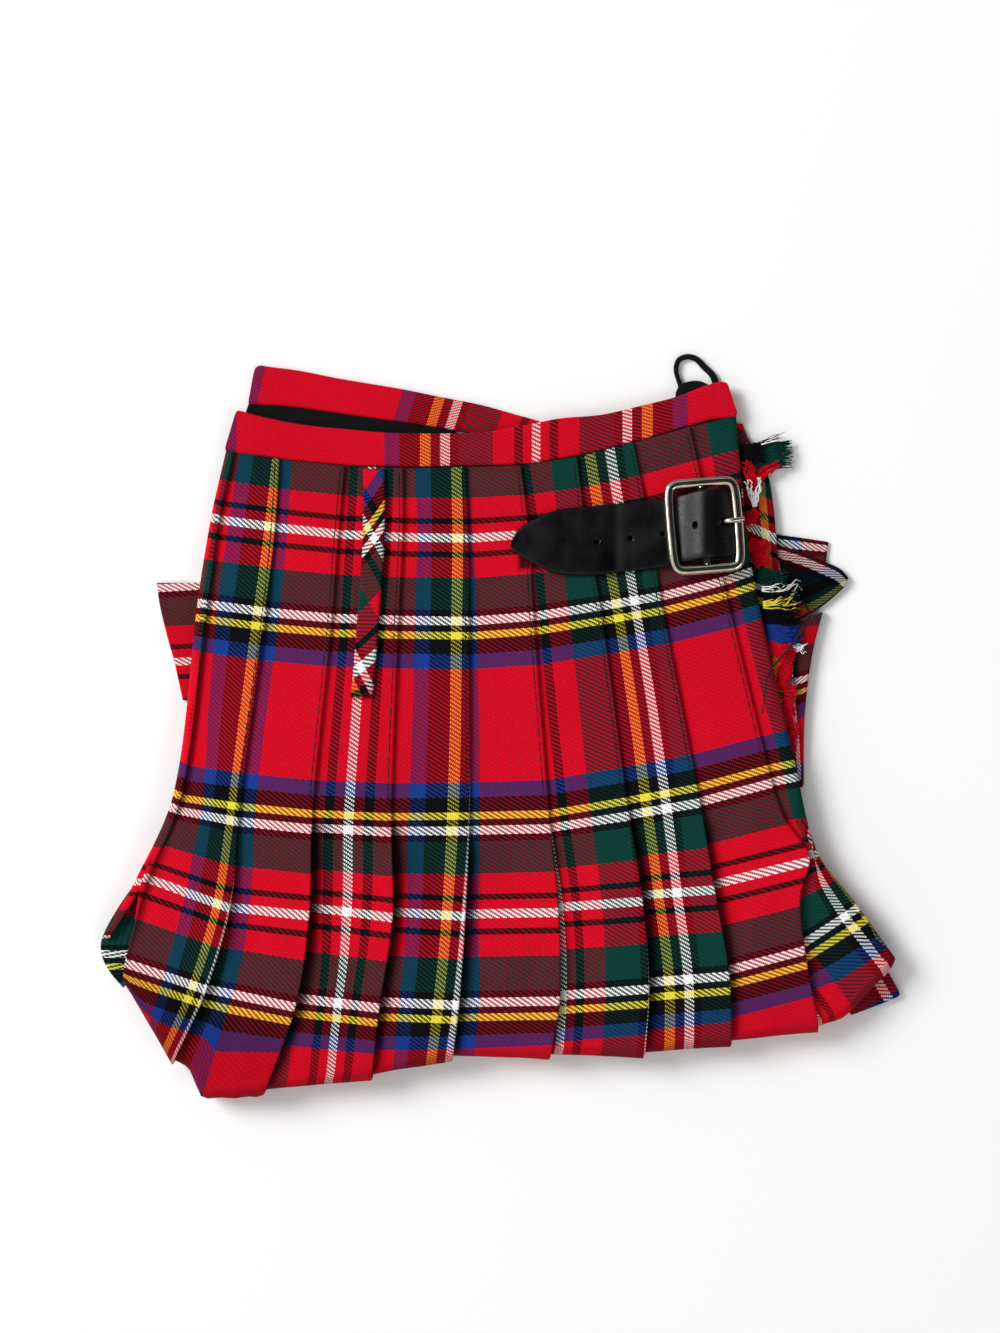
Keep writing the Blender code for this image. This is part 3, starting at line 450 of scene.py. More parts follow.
SWELL = ((-160.0, 0.55), (-60.0, 0.40), (-20.0, 0.20), (60.0, 0.12), (150.0, 0.10))
WAVES = ((34.0, 46.0, 3.7, 1.0), (11.0, 17.0, 8.1, 0.4))    # mm across and along, seed, share
CREASE_REACH = 3.0      # in half widths
CREASE_FADES = (0.7, 0.6, 23.0)     # mean share of its height, how much that varies, over what mm


def relief(x, y):
    """Height of the creases over the pressed cloth, in mm."""
    height = 0.0
    for across, along, seed, part in WAVES:
        height += part * table(SWELL, y) * noise.noise(Vector((x / across, y / along, seed)))
    here = Vector((x, y))
    mean, vary, width = CREASE_FADES
    for ax, ay, bx, by, half, rise in CREASES:
        run = Vector((bx - ax, by - ay))
        start = Vector((ax, ay))
        share = clamped((here - start).dot(run) / run.length_squared)
        gap = (here - start - run * share).length / half
        if gap < CREASE_REACH:
            fade = mean + vary * noise.noise(Vector((x, y, 0)) / width)
            height += rise * math.exp(-gap * gap) * fade
    return height


print("creases laid by hand:", len(CREASES))

# %% [markdown]
# ## Cloth as a grid
# Each stretch of cloth starts as a flat grid. Its corners are moved to their place, and each
# carries two marks in the map named cloth: millimetres across the warp and millimetres along it.
# The twill reads those marks, so the stripes bend with the cloth. A third mark is painted shade:
# it darkens the colour where a place lies deep in a fold that light hardly reaches, and in a few
# other shaded places. Solidify gives the cloth its thickness.


def cloth_grid(columns, rows, place, marks):
    """Grid of cloth: place and marks are called with a column and a row."""
    mesh = bmesh.new()
    bmesh.ops.create_grid(mesh, x_segments=columns, y_segments=rows, size=0.5)
    layer = mesh.loops.layers.uv.new("cloth")
    # the third mark, painted shade, kept on each corner
    depth = mesh.verts.layers.float.new("painted_shade")
    cells = {}
    for vertex in mesh.verts:
        cells[vertex] = (round((vertex.co.x + 0.5) * columns), round((vertex.co.y + 0.5) * rows))
    seen = {cell: marks(*cell) for cell in cells.values()}
    for face in mesh.faces:
        face.smooth = True
        for corner in face.loops:
            corner[layer].uv = seen[cells[corner.vert]][:2]
    for vertex, cell in cells.items():
        vertex.co = place(*cell) * MM
        vertex[depth] = seen[cell][2] if len(seen[cell]) > 2 else 0.0
    return mesh


def as_data(name, mesh):
    data = bpy.data.meshes.new(name)
    mesh.to_mesh(data)
    mesh.free()
    return data


def in_scene(name, mesh):
    made = bpy.data.objects.new(name, as_data(name, mesh))
    scene.collection.objects.link(made)
    return made


def gather(mesh, part):
    """Put a part's mesh into another one."""
    data = as_data("part", part)
    mesh.from_mesh(data)
    bpy.data.meshes.remove(data)


def add_piece(name, mesh, finish, replaces=(), thick=None):
    """Turn a bmesh into a named piece of the kilt that rides on its frame."""
    piece = in_scene(name, mesh)
    piece.data.materials.append(finish)
    if thick:
        wall = piece.modifiers.new("Cloth thickness", "SOLIDIFY")
        wall.thickness = thick * MM
        wall.offset = -1.0
    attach(piece, "root")
    if replaces:
        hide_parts(*replaces)
    return piece


def raised(plan, height):
    return Vector((plan[0], plan[1], height))

# %% [markdown]
# ## Where the stripes fall on each pleat
# A kilt is pleated so that the stripes meet the folds in a planned way. For each pleat the table
# gives the warp mark at its left and right edge: at the waist, above the middle, at the stripe
# below the stitching, and at the foot. The weft marks are the same for all pleats, with a small
# slip below the stitching, where each pleat hangs by itself.

# %% Stripe tables
SCALE = 0.457       # mm of cloth to one unit of these tables
PLEAT_WARP = {
    # pleat: rows of station, mark at the left edge, mark at the right edge
    0: ((0, -184, -176), (2.57, -188, -180), (4, -192, -182), (6, -192, -182)),
    1: ((0, 65, 117), (2.57, 59.5, 123.5), (4, 24, 131), (5, 20, 133), (6, 10, 134)),
    2: ((0, -85, -21), (2.57, -86.5, -19.5), (4, -91.5, -15.5), (5, -100, -10), (6, -103, -10)),
    3: ((0, 198, 256), (2.57, 193.5, 260.5), (4, 192, 266), (5, 182, 268), (6, 162, 268)),
    4: ((0, 61.5, 123.5), (2.57, 57, 128), (4, 60.5, 133), (5, 54, 136), (6, 53, 137)),
    5: ((0, -75, -20), (2.57, -82.5, -13), (4, -84.5, -1.5), (5, -92, 2), (6, -94, 3)),
    6: ((0, 238, 294), (2.57, 231.5, 300.5), (4, 223.5, 309), (5, 222, 311), (6, 217, 312)),
    7: ((0, 102, 158), (2.57, 95, 165), (4, 97, 174), (5, 93, 176), (6, 90, 177)),
    8: ((0, -37, 19), (2.57, -44, 26), (4, -47, 28), (5, -48, 28), (6, -60, 28)),
    9: ((0, 253, 294), (2.57, 257, 284), (3, 254, 281), (3.5, 257, 288), (3.75, 259, 313),
        (4, 262, 327), (4.4, 277, 330), (5, 262, 333), (6, 223, 328)),
}
# pleat 9 has a fold of its own: station, place of that fold, marks just before and just after it
LAST_FOLD = ((3.0, 1.0, 281, 281), (3.5, 0.9, 280, 284), (3.75, 0.8, 280, 306),
             (4.0, 0.62, 280, 309), (4.35, 0.12, 278, 282), (4.5, 0.0, 276, 276))
WEFT_STATIONS = ((0, -71), (1, 0), (2, 84), (3, 277), (4, 374.75), (5, 458.75))
WEFT_SLIP = {3: 7.5, 4: 5.0, 5: 1.5, 6: 4.5, 7: 5.5, 8: 4.7, 9: 6.0}
# pleat 1's marks shift at its left where it hangs free: station, onset, amount, share of its width
SHIFTED = (3.2, 0.8, 20.0, 0.47)
# how far the fold of some pleats stands off below the stitching: station, height in mm
STANDS_OFF = {
    1: ((3.0, 0.0), (3.5, 0.6), (4.6, 0.8), (6.0, 0.2)),
    2: ((3.0, 0.0), (3.35, 2.4), (3.9, 2.0), (4.8, 1.5), (6.0, 0.4)),
    3: ((3.0, 0.0), (3.35, 2.8), (3.9, 1.8), (4.8, 0.9), (6.0, 0.2)),
    4: ((3.0, 0.0), (3.5, 1.4), (4.2, 1.2), (6.0, 0.2)),
    5: ((3.0, 0.0), (3.6, 0.6), (5.0, 0.6), (6.0, 0.1)),
    6: ((3.0, 0.0), (3.6, 1.8), (4.8, 1.0), (6.0, 0.2)),
    7: ((3.0, 0.0), (3.5, 1.2), (4.4, 1.6), (6.0, 0.4)),
}


def free(station):
    """0 where the pleats are stitched down, 1 where they hang free."""
    return clamped(station - 3.0)


def pleat_marks(number, share, station, extra=0.0, down=0.0):
    """Marks in mm of a pleat's face; extra is cloth past its edge, down is cloth past the foot."""
    rows = PLEAT_WARP[number]
    left = straight(rows, station, 1)
    right = straight(rows, station, 2)
    slip = WEFT_SLIP.get(number, 0.0) * free(station) * (1.0 - share)
    across = between(left, right, share) * SCALE + extra
    if number == 1:
        start, onset, amount, part = SHIFTED
        loose = clamped((station - start) / onset)
        across += amount * loose * max(1.0 - share / part, 0.0) * SCALE
    if number == 9 and LAST_FOLD[0][0] <= station <= LAST_FOLD[-1][0]:
        fold, before, after = [straight(LAST_FOLD, station, column) for column in (1, 2, 3)]
        if share < fold:
            across = between(left, before, share / fold) * SCALE + extra
        else:
            across = between(after, right, (share - fold) / max(1.0 - fold, 0.01)) * SCALE + extra
    weft = (straight(WEFT_STATIONS, min(station, 5.0)) + slip) * SCALE
    if station > 5.0:
        ends = [(pleat_plan(number, side, station) - pleat_plan(number, side, 5.0)).length
                for side in (0.0, 1.0)]
        weft += between(*ends, share)
    return across, weft + down

# %% [markdown]
# ## Knife pleats
# One knife pleat is a flat face that ends in a sharp fold on its right. The fold lies on the next
# pleat's face, and the cloth turns back beneath it. So each row of the grid starts under the pleat
# on the left, climbs over the face, rounds the fold and runs a little way back underneath. At the
# foot, the whole row turns down over the folded stack.

# %% Pleat surface
PLEAT_LOW = 0.2         # mm from the stack to a pleat's tucked edge
NOSE = 1.8              # thickness of a fold's rounded edge
PLEAT_RISE = 3.8        # height of a fold above the stack where it is stitched
FREE_LIFT = 1.6         # and how much higher it lies where it hangs free
FOOT_SHADE = 0.22       # painted shade where the cloth turns away from the light at the bottom fold
FOOT_DROOP_SHADE = (0.28, 0.08)           # painted shade just above it: on the first two pleats, on the others
FACE_CURVE = (2.2, 0.45, 0.35)      # how late a face climbs, the part that does, its fullness
UNDER_FOLD = (3.0, 6.0)             # mm that the cloth goes back under its own fold
UNDER_SINK = 0.12                   # and how far it sinks with each mm
STRAP_SHADE = 0.95      # painted shade on the cloth under the strap
# painted shade on a pleat just right of its neighbour's fold: station, width in mm, depth
FOLD_SHADES = {
    1: ((3.2, 0.0, 0.0), (3.7, 2.5, 0.8), (4.4, 3.0, 0.9), (4.9, 1.5, 0.4), (5.4, 0.0, 0.0)),
    3: ((2.98, 0.0, 0.0), (3.12, 7.5, 0.97), (3.5, 6.8, 0.97), (4.0, 5.6, 0.96), (5.0, 5.4, 0.92),
        (6.0, 3.0, 0.7)),
    4: ((2.98, 0.0, 0.0), (3.15, 6.4, 0.97), (3.5, 7.2, 0.97), (4.1, 5.4, 0.95), (5.0, 4.8, 0.9),
        (6.0, 2.8, 0.65)),
    5: ((3.0, 0.0, 0.0), (3.4, 5.0, 0.92), (4.4, 4.4, 0.92), (5.2, 4.2, 0.85), (6.0, 2.4, 0.6)),
    6: ((3.0, 0.0, 0.0), (3.4, 2.2, 0.6), (6.0, 1.6, 0.5)),
    7: ((3.0, 0.0, 0.0), (3.3, 5.0, 0.9), (4.6, 5.0, 0.9), (6.0, 2.0, 0.5)),
    8: ((3.0, 0.0, 0.0), (3.4, 4.0, 0.8), (4.4, 4.2, 0.85), (6.0, 2.0, 0.5)),
    9: ((3.0, 0.0, 0.0), (4.0, 1.2, 0.4), (6.0, 1.4, 0.5)),
}
BULGE = (7.6, 2.0, 3.95, 0.3)       # x, y, station and length of a bulge
STRAP_OVER = ((8.0, 81.0), (106.0, 93.5), 9.5)    # where the cloth under the strap gets painted shade
TUCK = 8.0              # mm that a pleat goes on below its neighbour
FIRST_TUCK = ((0, 1.2), (3, 2.0), (3.6, 3.4), (4.1, 3.0), (4.6, 0.8), (6, 0.4))
FOOT_BEND = 2.5
FOOT_RADIUS = 10.5      # of the fold round the foot, as the cloth's length round it is counted
FOOT_START = 6.0        # and how much of that length is already in the face
FOOT_DEPTH = 0.866      # the turned cloth ends this share of its radius below the bend's middle
FOOT_BACK = (6.5, 7.9)
TURNED_BACK = 5.1
FOOT_TURN = 150.0
FOOT_DROPS = {
    2: ((0.0, 0.0), (0.14, 0.9), (0.31, 12.8), (0.6, 8.0), (0.9, 2.5), (1.0, 0.0)),
    9: ((0.0, 0.0), (0.35, 5.4), (0.7, 2.4), (0.9, 1.8), (1.0, 0.0)),
}
LEFT_TURN = ((3.4, 5.2), (3.4, 6.4), (3.4, 9.4), (3.4, 12.0), (0.6, 6.4), (-4.4, 1.4))
RIGHT_TURN = ((2.6, 2.9), (2.6, 2.3), (2.6, 2.8), (2.6, 6.4), (2.6, 9.5), (2.6, 3.6), (2.6, 3.0))
SIDE_BEND = 3.0
SIDE_SHARE = 0.55       # of a narrow pleat's width, at most


def fold_place(fold, station):
    """Place of a fold line; the last but one bulges over the cloth beside it."""
    place = spline(FOLDS[fold], station)
    if fold == 8:
        place += Vector(BULGE[:2]) * math.exp(-((station - BULGE[2]) / BULGE[3]) ** 2)
    return place


def pleat_plan(number, share, station):
    """Plan point of a pleat's face: 0 at the fold on its left, 1 at its own fold."""
    if number == 0:
        return between(spline(SIDE_OUTER, station), spline(SIDE_INNER, station), share)
    plan = between(fold_place(number - 1, station), fold_place(number, station), share)
    if number in FOOT_DROPS:
        plan.y -= table(FOOT_DROPS[number], share) * max(station - 5.0, 0.0) ** 2
    return plan


def pleat_width(number, station):
    return (pleat_plan(number, 1.0, station) - pleat_plan(number, 0.0, station)).length


def foot_frame(number, share, tucked):
    foot = pleat_plan(number, share, 6.0)
    run = (foot - pleat_plan(number, share, 5.2)).normalized()
    far = TURNED_BACK if number == 9 else FOOT_BACK[1]
    return foot - run * between(FOOT_BACK[0], far, 0.0 if tucked else share), run


def pleat_point(number, share, station, angle, height, tucked=False):
    """Point of the pleated cloth at a height above the stack; angle turns it round the foot."""
    if angle is None:
        plan = pleat_plan(number, share, station)
        return raised(plan, stack(plan.x, plan.y) + height + relief(plan.x, plan.y))
    centre, run = foot_frame(number, share, tucked)
    base = stack(centre.x, centre.y)
    bend = (base - GAP - FOOT_DEPTH * (PLEAT_RISE + FREE_LIFT)) / (1.0 + FOOT_DEPTH)
    turn = math.radians(angle)
    reach = height + relief(centre.x + run.x * 8.0, centre.y + run.y * 8.0) * math.cos(turn / 2)
    plan = centre + run * ((FOOT_BEND + reach) * math.sin(turn))
    return raised(plan, base - bend + (bend + reach) * math.cos(turn))


def foot_length(angle):
    """Cloth from the foot line round the fold, in mm."""
    return 0.0 if angle is None else FOOT_RADIUS * math.radians(angle) - FOOT_START


FACE_ROWS = 96
FOOT_ROWS = 14
ROWS = [(5.35 * row / FACE_ROWS, None) for row in range(FACE_ROWS + 1)]
ROWS += [(6.0, FOOT_TURN * row / FOOT_ROWS) for row in range(FOOT_ROWS + 1)]
FACE_SHARES = [0.0, 0.04, 0.08, 0.12, 0.17, 0.23, 0.3, 0.38, 0.46, 0.54, 0.62, 0.7, 0.78, 0.86,
               0.93]
NOSE_TURNS = (0, 30, 60, 90, 120, 150, 180)
print("rows down a pleat:", len(ROWS), "columns over its face:", len(FACE_SHARES))


def face_height(share, crest):
    """The face climbs from its neighbour's fold to its own, a little fuller in the middle."""
    steep, part, full = FACE_CURVE
    climb = between(share, share ** steep, part)
    return between(PLEAT_LOW + CLOTH, crest, climb) + full * math.sin(math.pi * share)


def fold_shade_at(number, share, station):
    """Depth of painted shade at a place of a pleat's face, strongest at the neighbour's fold."""
    rows = FOLD_SHADES.get(number)
    if rows is None or not rows[0][0] < station:
        return 0.0
    width = straight(rows, min(station, rows[-1][0]), 1)
    depth = straight(rows, min(station, rows[-1][0]), 2)
    place = share * pleat_width(number, station) / max(width, 0.2)
    return depth * math.exp(-place * place * 1.4) if depth > 0.0 else 0.0


# painted shade for the cloth that lies under the strap
def strap_shade_at(x, y):
    (x1, y1), (x2, y2), half = STRAP_OVER
    middle = between(y1, y2, (x - x1) / (x2 - x1))
    return STRAP_SHADE if x1 < x < x2 and abs(y - middle) < half else 0.0


def pleat_row(number, station, angle):
    """Points and marks across one pleat, from its tucked edge to the cloth under its fold."""
    crest = PLEAT_RISE + FREE_LIFT * free(station)
    if number in STANDS_OFF:
        crest += table(STANDS_OFF[number], station)
    down = foot_length(angle)
    # painted shade on the foot's fold, and just above it
    droop_shade = FOOT_DROOP_SHADE[0] if number <= 2 else FOOT_DROOP_SHADE[1]
    foot_shade = droop_shade * clamped((station - 5.0) / 0.35)
    foot_shade += FOOT_SHADE * clamped((angle or 0.0) / 60.0)
    width = pleat_width(number, station)
    row = []
    strip, hidden = number - 1, 1.0 - TUCK / pleat_width(max(number - 1, 1), station)
    reach = TUCK
    if number == 1:
        reach = table(FIRST_TUCK, station)
        strip, hidden = 1, -reach / width
    row.append((pleat_point(strip, hidden, station, angle, PLEAT_LOW + CLOTH, tucked=True),
                pleat_marks(number, 0.0, station, -reach, down)))
    shoulder = 1.0 - NOSE / 2 / width
    for share in [share * shoulder for share in FACE_SHARES] + [shoulder]:
        height = face_height(share, crest)
        point = pleat_point(number, share, station, angle, height)
        # painted shade: the strongest of that beside the fold, at the foot and under the strap
        painted_shading = max(fold_shade_at(number, share, station), foot_shade, strap_shade_at(point.x, point.y))
        row.append((point, (*pleat_marks(number, share, station, 0.0, down), painted_shading)))
    for turn in NOSE_TURNS[1:]:
        way = math.radians(turn)
        share = shoulder + NOSE / 2 / width * math.sin(way)
        height = crest - NOSE / 2 * (1.0 - math.cos(way))
        row.append((pleat_point(number, share, station, angle, height),
                    pleat_marks(number, shoulder, station, NOSE / 2 * way, down)))
    for back in UNDER_FOLD:
        height = max(crest - NOSE - UNDER_SINK * back, PLEAT_LOW + CLOTH + 0.2)
        row.append((pleat_point(number, 1.0 - back / width, station, angle, height),
                    pleat_marks(number, 1.0, station, 2.0 + back, down)))
    return row


def row_grid(rows):
    """Grid of cloth from rows of points and marks."""
    return cloth_grid(len(rows[0]) - 1, len(rows) - 1,
                      lambda column, row: rows[row][column][0],
                      lambda column, row: rows[row][column][1])


def add_pleat(number, rows):
    mesh = row_grid([row[::-1] for row in rows])
    name = "pleat_face_%d" % number
    add_piece(name, mesh, worsted, ["pleat_%d" % number], PLEAT_WALL)

# %% Knife pleats 1 to 8
PLEAT_WALL = 0.8
for number in range(1, 9):
    add_pleat(number, [pleat_row(number, station, angle) for station, angle in ROWS])

# %% [markdown]
# ## The side pleats
# At both sides the cloth turns down over the folded stack: the first pleat on the left opens a
# little way and shows its side, and the last one on the right is splayed below the stitching.

# %% Side pleats
SIDE_TURNS = [0, 15, 30, 45, 60, 75, 90, 105, 120]


def side_turn(rows, station):
    index = min(int(station), len(rows) - 2)
    share = min(station - index, 1.0)
    return tuple(between(here, there, share) for here, there in zip(rows[index], rows[index + 1]))


def turned_points(number, side, station, turn):
    """Points round a side fold, from its level part down; side is 0 at the left, 1 at the right."""
    rise, depth = turn
    outer = pleat_point(number, side, station, None, rise)
    inner = pleat_point(number, 1.0 - side, station, None, rise)
    across = outer - inner
    across.z = 0.0
    across.normalize()
    bend = min(SIDE_BEND, SIDE_SHARE * (outer - inner).length)
    points = []
    for step in SIDE_TURNS:
        way = math.radians(step)
        plan = across * (bend * (math.sin(way) - 1.0))
        drop = depth / 2 * (1.0 - math.cos(way))
        points.append((outer + plan - Vector((0, 0, drop)), bend * (way - 1.0) + 0.4 * drop))
    return points


def side_row(station):
    turn = side_turn(LEFT_TURN, station)
    row = []
    for point, length in turned_points(0, 0.0, station, turn)[::-1]:
        row.append((point, pleat_marks(0, 0.0, station, -length)))
    for share in (0.7, 1.0):
        row.append((pleat_point(0, share, station, None, turn[0] + 0.3),
                    pleat_marks(0, share, station)))
    row.append((pleat_point(0, 0.9, station, None, turn[0] - 0.9),
                pleat_marks(0, 1.0, station, 1.2)))
    return row


def last_row(station, angle):
    """The turned pleat: tucked edge, level part, and the side that turns down."""
    turn = side_turn(RIGHT_TURN, station)
    down = foot_length(angle)
    hidden = 1.0 - TUCK / pleat_width(8, station)
    row = [(pleat_point(8, hidden, station, angle, PLEAT_LOW + CLOTH, tucked=True),
            pleat_marks(9, 0.0, station, -TUCK, down))]
    for step in range(8):
        share = 0.55 * step / 7
        height = between(PLEAT_LOW + CLOTH, turn[0], step / 7)
        row.append((pleat_point(9, share, station, angle, height),
                    pleat_marks(9, share, station, 0, down)))
    if angle is None:
        for point, length in turned_points(9, 1.0, station, turn):
            row.append((point, pleat_marks(9, 1.0, station, length)))
        return row
    count = len(SIDE_TURNS)
    for step in range(count):
        share = between(0.7, 1.0, step / (count - 1))
        low = 1.2 * (step / (count - 1)) ** 6
        row.append((pleat_point(9, share, station, angle, turn[0] - low),
                    pleat_marks(9, share, station, 0, down)))
    return row


add_pleat(0, [side_row(5.0 * step / 90) for step in range(91)])
add_pleat(9, [last_row(station, angle) for station, angle in ROWS])

# %% [markdown]
# ## The hidden layers
# Between the pleats and the floor lie the folded-under half and both aprons, pressed together.
# Only their edges show, as soft ridges one above the other, so one closed skin stands for them,
# and its sides are drawn in between the layers.

# %% Hidden layers
CORE_CLEAR = 0.8
CORE_INSET = 5.0
CORE_REACH = -0.2
LAYERS = 6              # edges that show at each side
RIDGE = 1.3             # from the hollow between two layers to the edge of one
RIDGE_SUNK = 0.2        # and how far the hollow lies inside the stack
CORE_SHARES = [0.0] + [step / 4 for step in range(1, 36)] + [9.0]


def core_point(place, station, angle, low):
    """Point of the core's top or underside; place counts the fold lines from 0 to 9."""
    number = min(int(place), 8)
    share = place - number
    strip = number + 1
    if place == 0.0:
        share = CORE_INSET / pleat_width(1, station)
    if place == 9.0:
        strip, share = 9, 1.0 - CORE_INSET / pleat_width(9, station)
    if low:
        point = pleat_point(strip, share, station, 0.0 if angle is not None else None, 0.0,
                            tucked=True)
        return Vector((point.x, point.y, 0.0))
    return pleat_point(strip, share, station, angle, -CORE_CLEAR - 0.6, tucked=True)


def core_row(station, angle):
    """One closed ring: over the top, down the layered right side, underneath, up the left side."""
    top = [core_point(place, station, angle, False) for place in CORE_SHARES]
    low = [core_point(place, station, angle, True) for place in CORE_SHARES]
    sides = []
    for upper, lower, way in ((top[-1], low[-1], 1.0), (top[0], low[0], -1.0)):
        line = []
        for step in range(1, 4 * LAYERS):
            share = 1.0 - step / (4 * LAYERS)
            swell = math.sin(math.pi * step / 4) ** 2 * RIDGE - RIDGE_SUNK
            if angle is not None:
                swell = 0.0
            line.append(between(lower, upper, share) + Vector((way * swell, 0.0, 0.0)))
        sides.append(line)
    ring = top + sides[0] + low[::-1] + sides[1][::-1]
    return ring + [ring[0]]


def ring_marks(rows, across, along):
    """Marks round closed rows, by the length of the cloth from the first point."""
    marked = []
    for row, weft in zip(rows, along):
        length = across
        line = []
        for step, point in enumerate(row):
            length += (point - row[step - 1]).length if step else 0.0
            line.append((point, (length, weft)))
        marked.append(line)
    return marked


def closed_skin(rows):
    """Tube of cloth from closed rows, with a flat end where each of them pinches to its middle."""
    mesh = row_grid(rows)
    bmesh.ops.remove_doubles(mesh, verts=mesh.verts, dist=0.00001)
    bmesh.ops.recalc_face_normals(mesh, faces=mesh.faces)
    return mesh


def end_cap(ring, top_count, side_count):
    """The ring at a cut end, closed to its middle line: its top and its underside meet halfway."""
    points = ring[:-1]
    last = 2 * top_count + side_count - 1
    capped = []
    for index, (point, marks) in enumerate(points):
        if top_count <= index < top_count + side_count:
            point, facing = points[top_count - 1][0], points[top_count + side_count][0]
        elif index > last:
            point, facing = points[0][0], points[last][0]
        else:
            facing = points[last - index][0]
        capped.append(((point + facing) / 2, marks))
    return capped + [capped[0]]


def capped_skin(rings, top_count, side_count):
    ends = [end_cap(rings[place], top_count, side_count) for place in (0, -1)]
    return closed_skin([ends[0]] + rings + [ends[1]])


core_stations = [(between(CORE_REACH, 5.3, row / 44), None) for row in range(45)]
core_stations += [(6.0, FOOT_TURN * row / 8) for row in range(9)]
wefts = [straight(WEFT_STATIONS, min(max(station, 0.0), 5.9)) * SCALE + 60.0
         for station, angle in core_stations]
rows = ring_marks([core_row(station, angle) for station, angle in core_stations], -40.0, wefts)
core = capped_skin(rows, len(CORE_SHARES), 4 * LAYERS - 1)
add_piece("folded_layers", core, worsted_shaded, ["hidden_layers"])
print("layers that show at each side:", LAYERS)

# %% [markdown]
# ## Bands and side sheets
# The waistband is one strip of tartan, cut across, turned in at both edges and sewn over the top
# of the pleats. The under-apron's band stands behind it with its inside showing, above a black
# lining. The hem's corners and the over-apron's edge stick out at the sides. All are slabs between
# two outlines, with rounded edges.

# %% Outlines
BAND_TOP = ((-120.4, 143.0), (-119.6, 144.3), (-117.9, 144.2), (-109.7, 141.9), (-91.4, 138.2),
            (-73.1, 136.2), (-45.7, 134.1), (-9.1, 134.6), (13.7, 138.2), (27.4, 140.8),
            (45.7, 142.4), (64.0, 146.5), (80.0, 150.6), (96.0, 156.6), (101.3, 157.5),
            (103.3, 156.8), (104.2, 154.6))
BAND_SEAM = ((-125.1, 127.2), (-124.8, 126.1), (-123.2, 125.5), (-109.7, 123.6), (-91.4, 121.3),
             (-73.1, 119.5), (-43.9, 118.6), (-15.5, 119.1), (9.6, 119.8), (27.4, 122.3),
             (45.7, 126.0), (64.0, 130.8), (82.3, 136.1), (96.0, 140.1), (105.4, 141.0),
             (107.4, 141.6), (107.9, 143.4))
BACK_TOP = ((-112.4, 162.0), (-111.6, 164.2), (-109.8, 165.3), (-106.6, 164.9), (-91.4, 162.9),
            (-73.1, 159.3), (-45.7, 154.7), (-27.4, 151.0), (-9.1, 147.4), (9.1, 142.4),
            (20.6, 139.2))
BACK_SEAM = ((-114.8, 148.6), (-114.7, 147.8), (-113.2, 147.5), (-110.2, 147.4), (-96.0, 146.5),
             (-79.0, 144.2), (-58.0, 141.2), (-38.0, 138.4), (-20.0, 135.4), (0.0, 130.9),
             (18.3, 127.3))
LINING_LOW = ((-117.8, 139.2), (-97.0, 135.2), (-79.0, 132.6), (-58.0, 130.6), (-38.0, 129.6),
              (-25.0, 129.4))
HEM_LEFT_OUTER = ((-156.8, 66.0), (-155.4, 56.0), (-152.2, 42.3), (-149.0, 30.8), (-144.9, 12.5))
HEM_LEFT_LEVELS = (66.4, 56.0, 42.3, 30.8, 12.5)
HEM_LEFT_UNDER = 3.5        # how far it reaches in past the first fold line
HEM_RIGHT_UPPER = ((118.5, 89.0), (134.0, 87.2), (149.9, 84.8))
HEM_RIGHT_LOWER = ((119.5, 74.0), (134.0, 72.0), (148.4, 72.5))
HEM_FLAP_UPPER = ((121.0, 85.0), (137.1, 80.3), (148.5, 75.6), (155.4, 72.3), (159.0, 68.3))
HEM_FLAP_LOWER = ((124.0, 43.6), (134.0, 48.0), (142.6, 52.4), (149.6, 57.4), (156.8, 63.8))
SIDE_LAYER_LEFT = ((125.0, 42.6), (128.0, 25.0), (131.5, 5.0), (133.5, -12.0), (136.2, -27.0))
SIDE_LAYER_RIGHT = ((147.3, 53.0), (143.2, 37.0), (140.4, 20.0), (138.8, 2.0), (138.6, -27.0))
POCKET_OUTER = ((-149.9, -41.4), (-156.3, -51.4), (-165.9, -69.7), (-175.7, -84.5),
                (-181.8, -97.0), (-181.4, -104.5), (-177.6, -111.8), (-171.8, -118.6))
POCKET_INNER = ((-144.4, -41.4), (-149.5, -52.0), (-154.6, -68.0), (-159.6, -80.5),
                (-164.0, -93.0), (-166.6, -101.0), (-167.6, -108.0), (-167.6, -114.0))
CORNER_INNER = ((175.1, -110.4), (172.2, -113.0), (169.4, -115.9), (163.4, -122.1),
                (158.0, -128.5))
CORNER_OUTER = ((177.6, -112.2), (182.3, -121.2), (181.4, -122.9), (170.5, -127.4),
                (160.4, -131.2))
APRON_OUTER = ((110.9, 138.7), (113.6, 131.2), (118.2, 124.6), (122.3, 115.0), (124.3, 104.0),
               (125.7, 90.3), (127.0, 76.5), (130.2, 62.8), (132.1, 40.0), (133.9, 17.1),
               (136.2, -5.7), (137.0, -24.0))
APRON_INNER_SHIFT = 3.4
APRON_HEIGHTS = ((-30.0, 5.3), (45.0, 5.3), (60.0, 3.2), (98.0, 3.0), (118.0, 1.8), (140.0, 0.8))
EDGE_TURNS = (30, 60, 90, 120, 150)


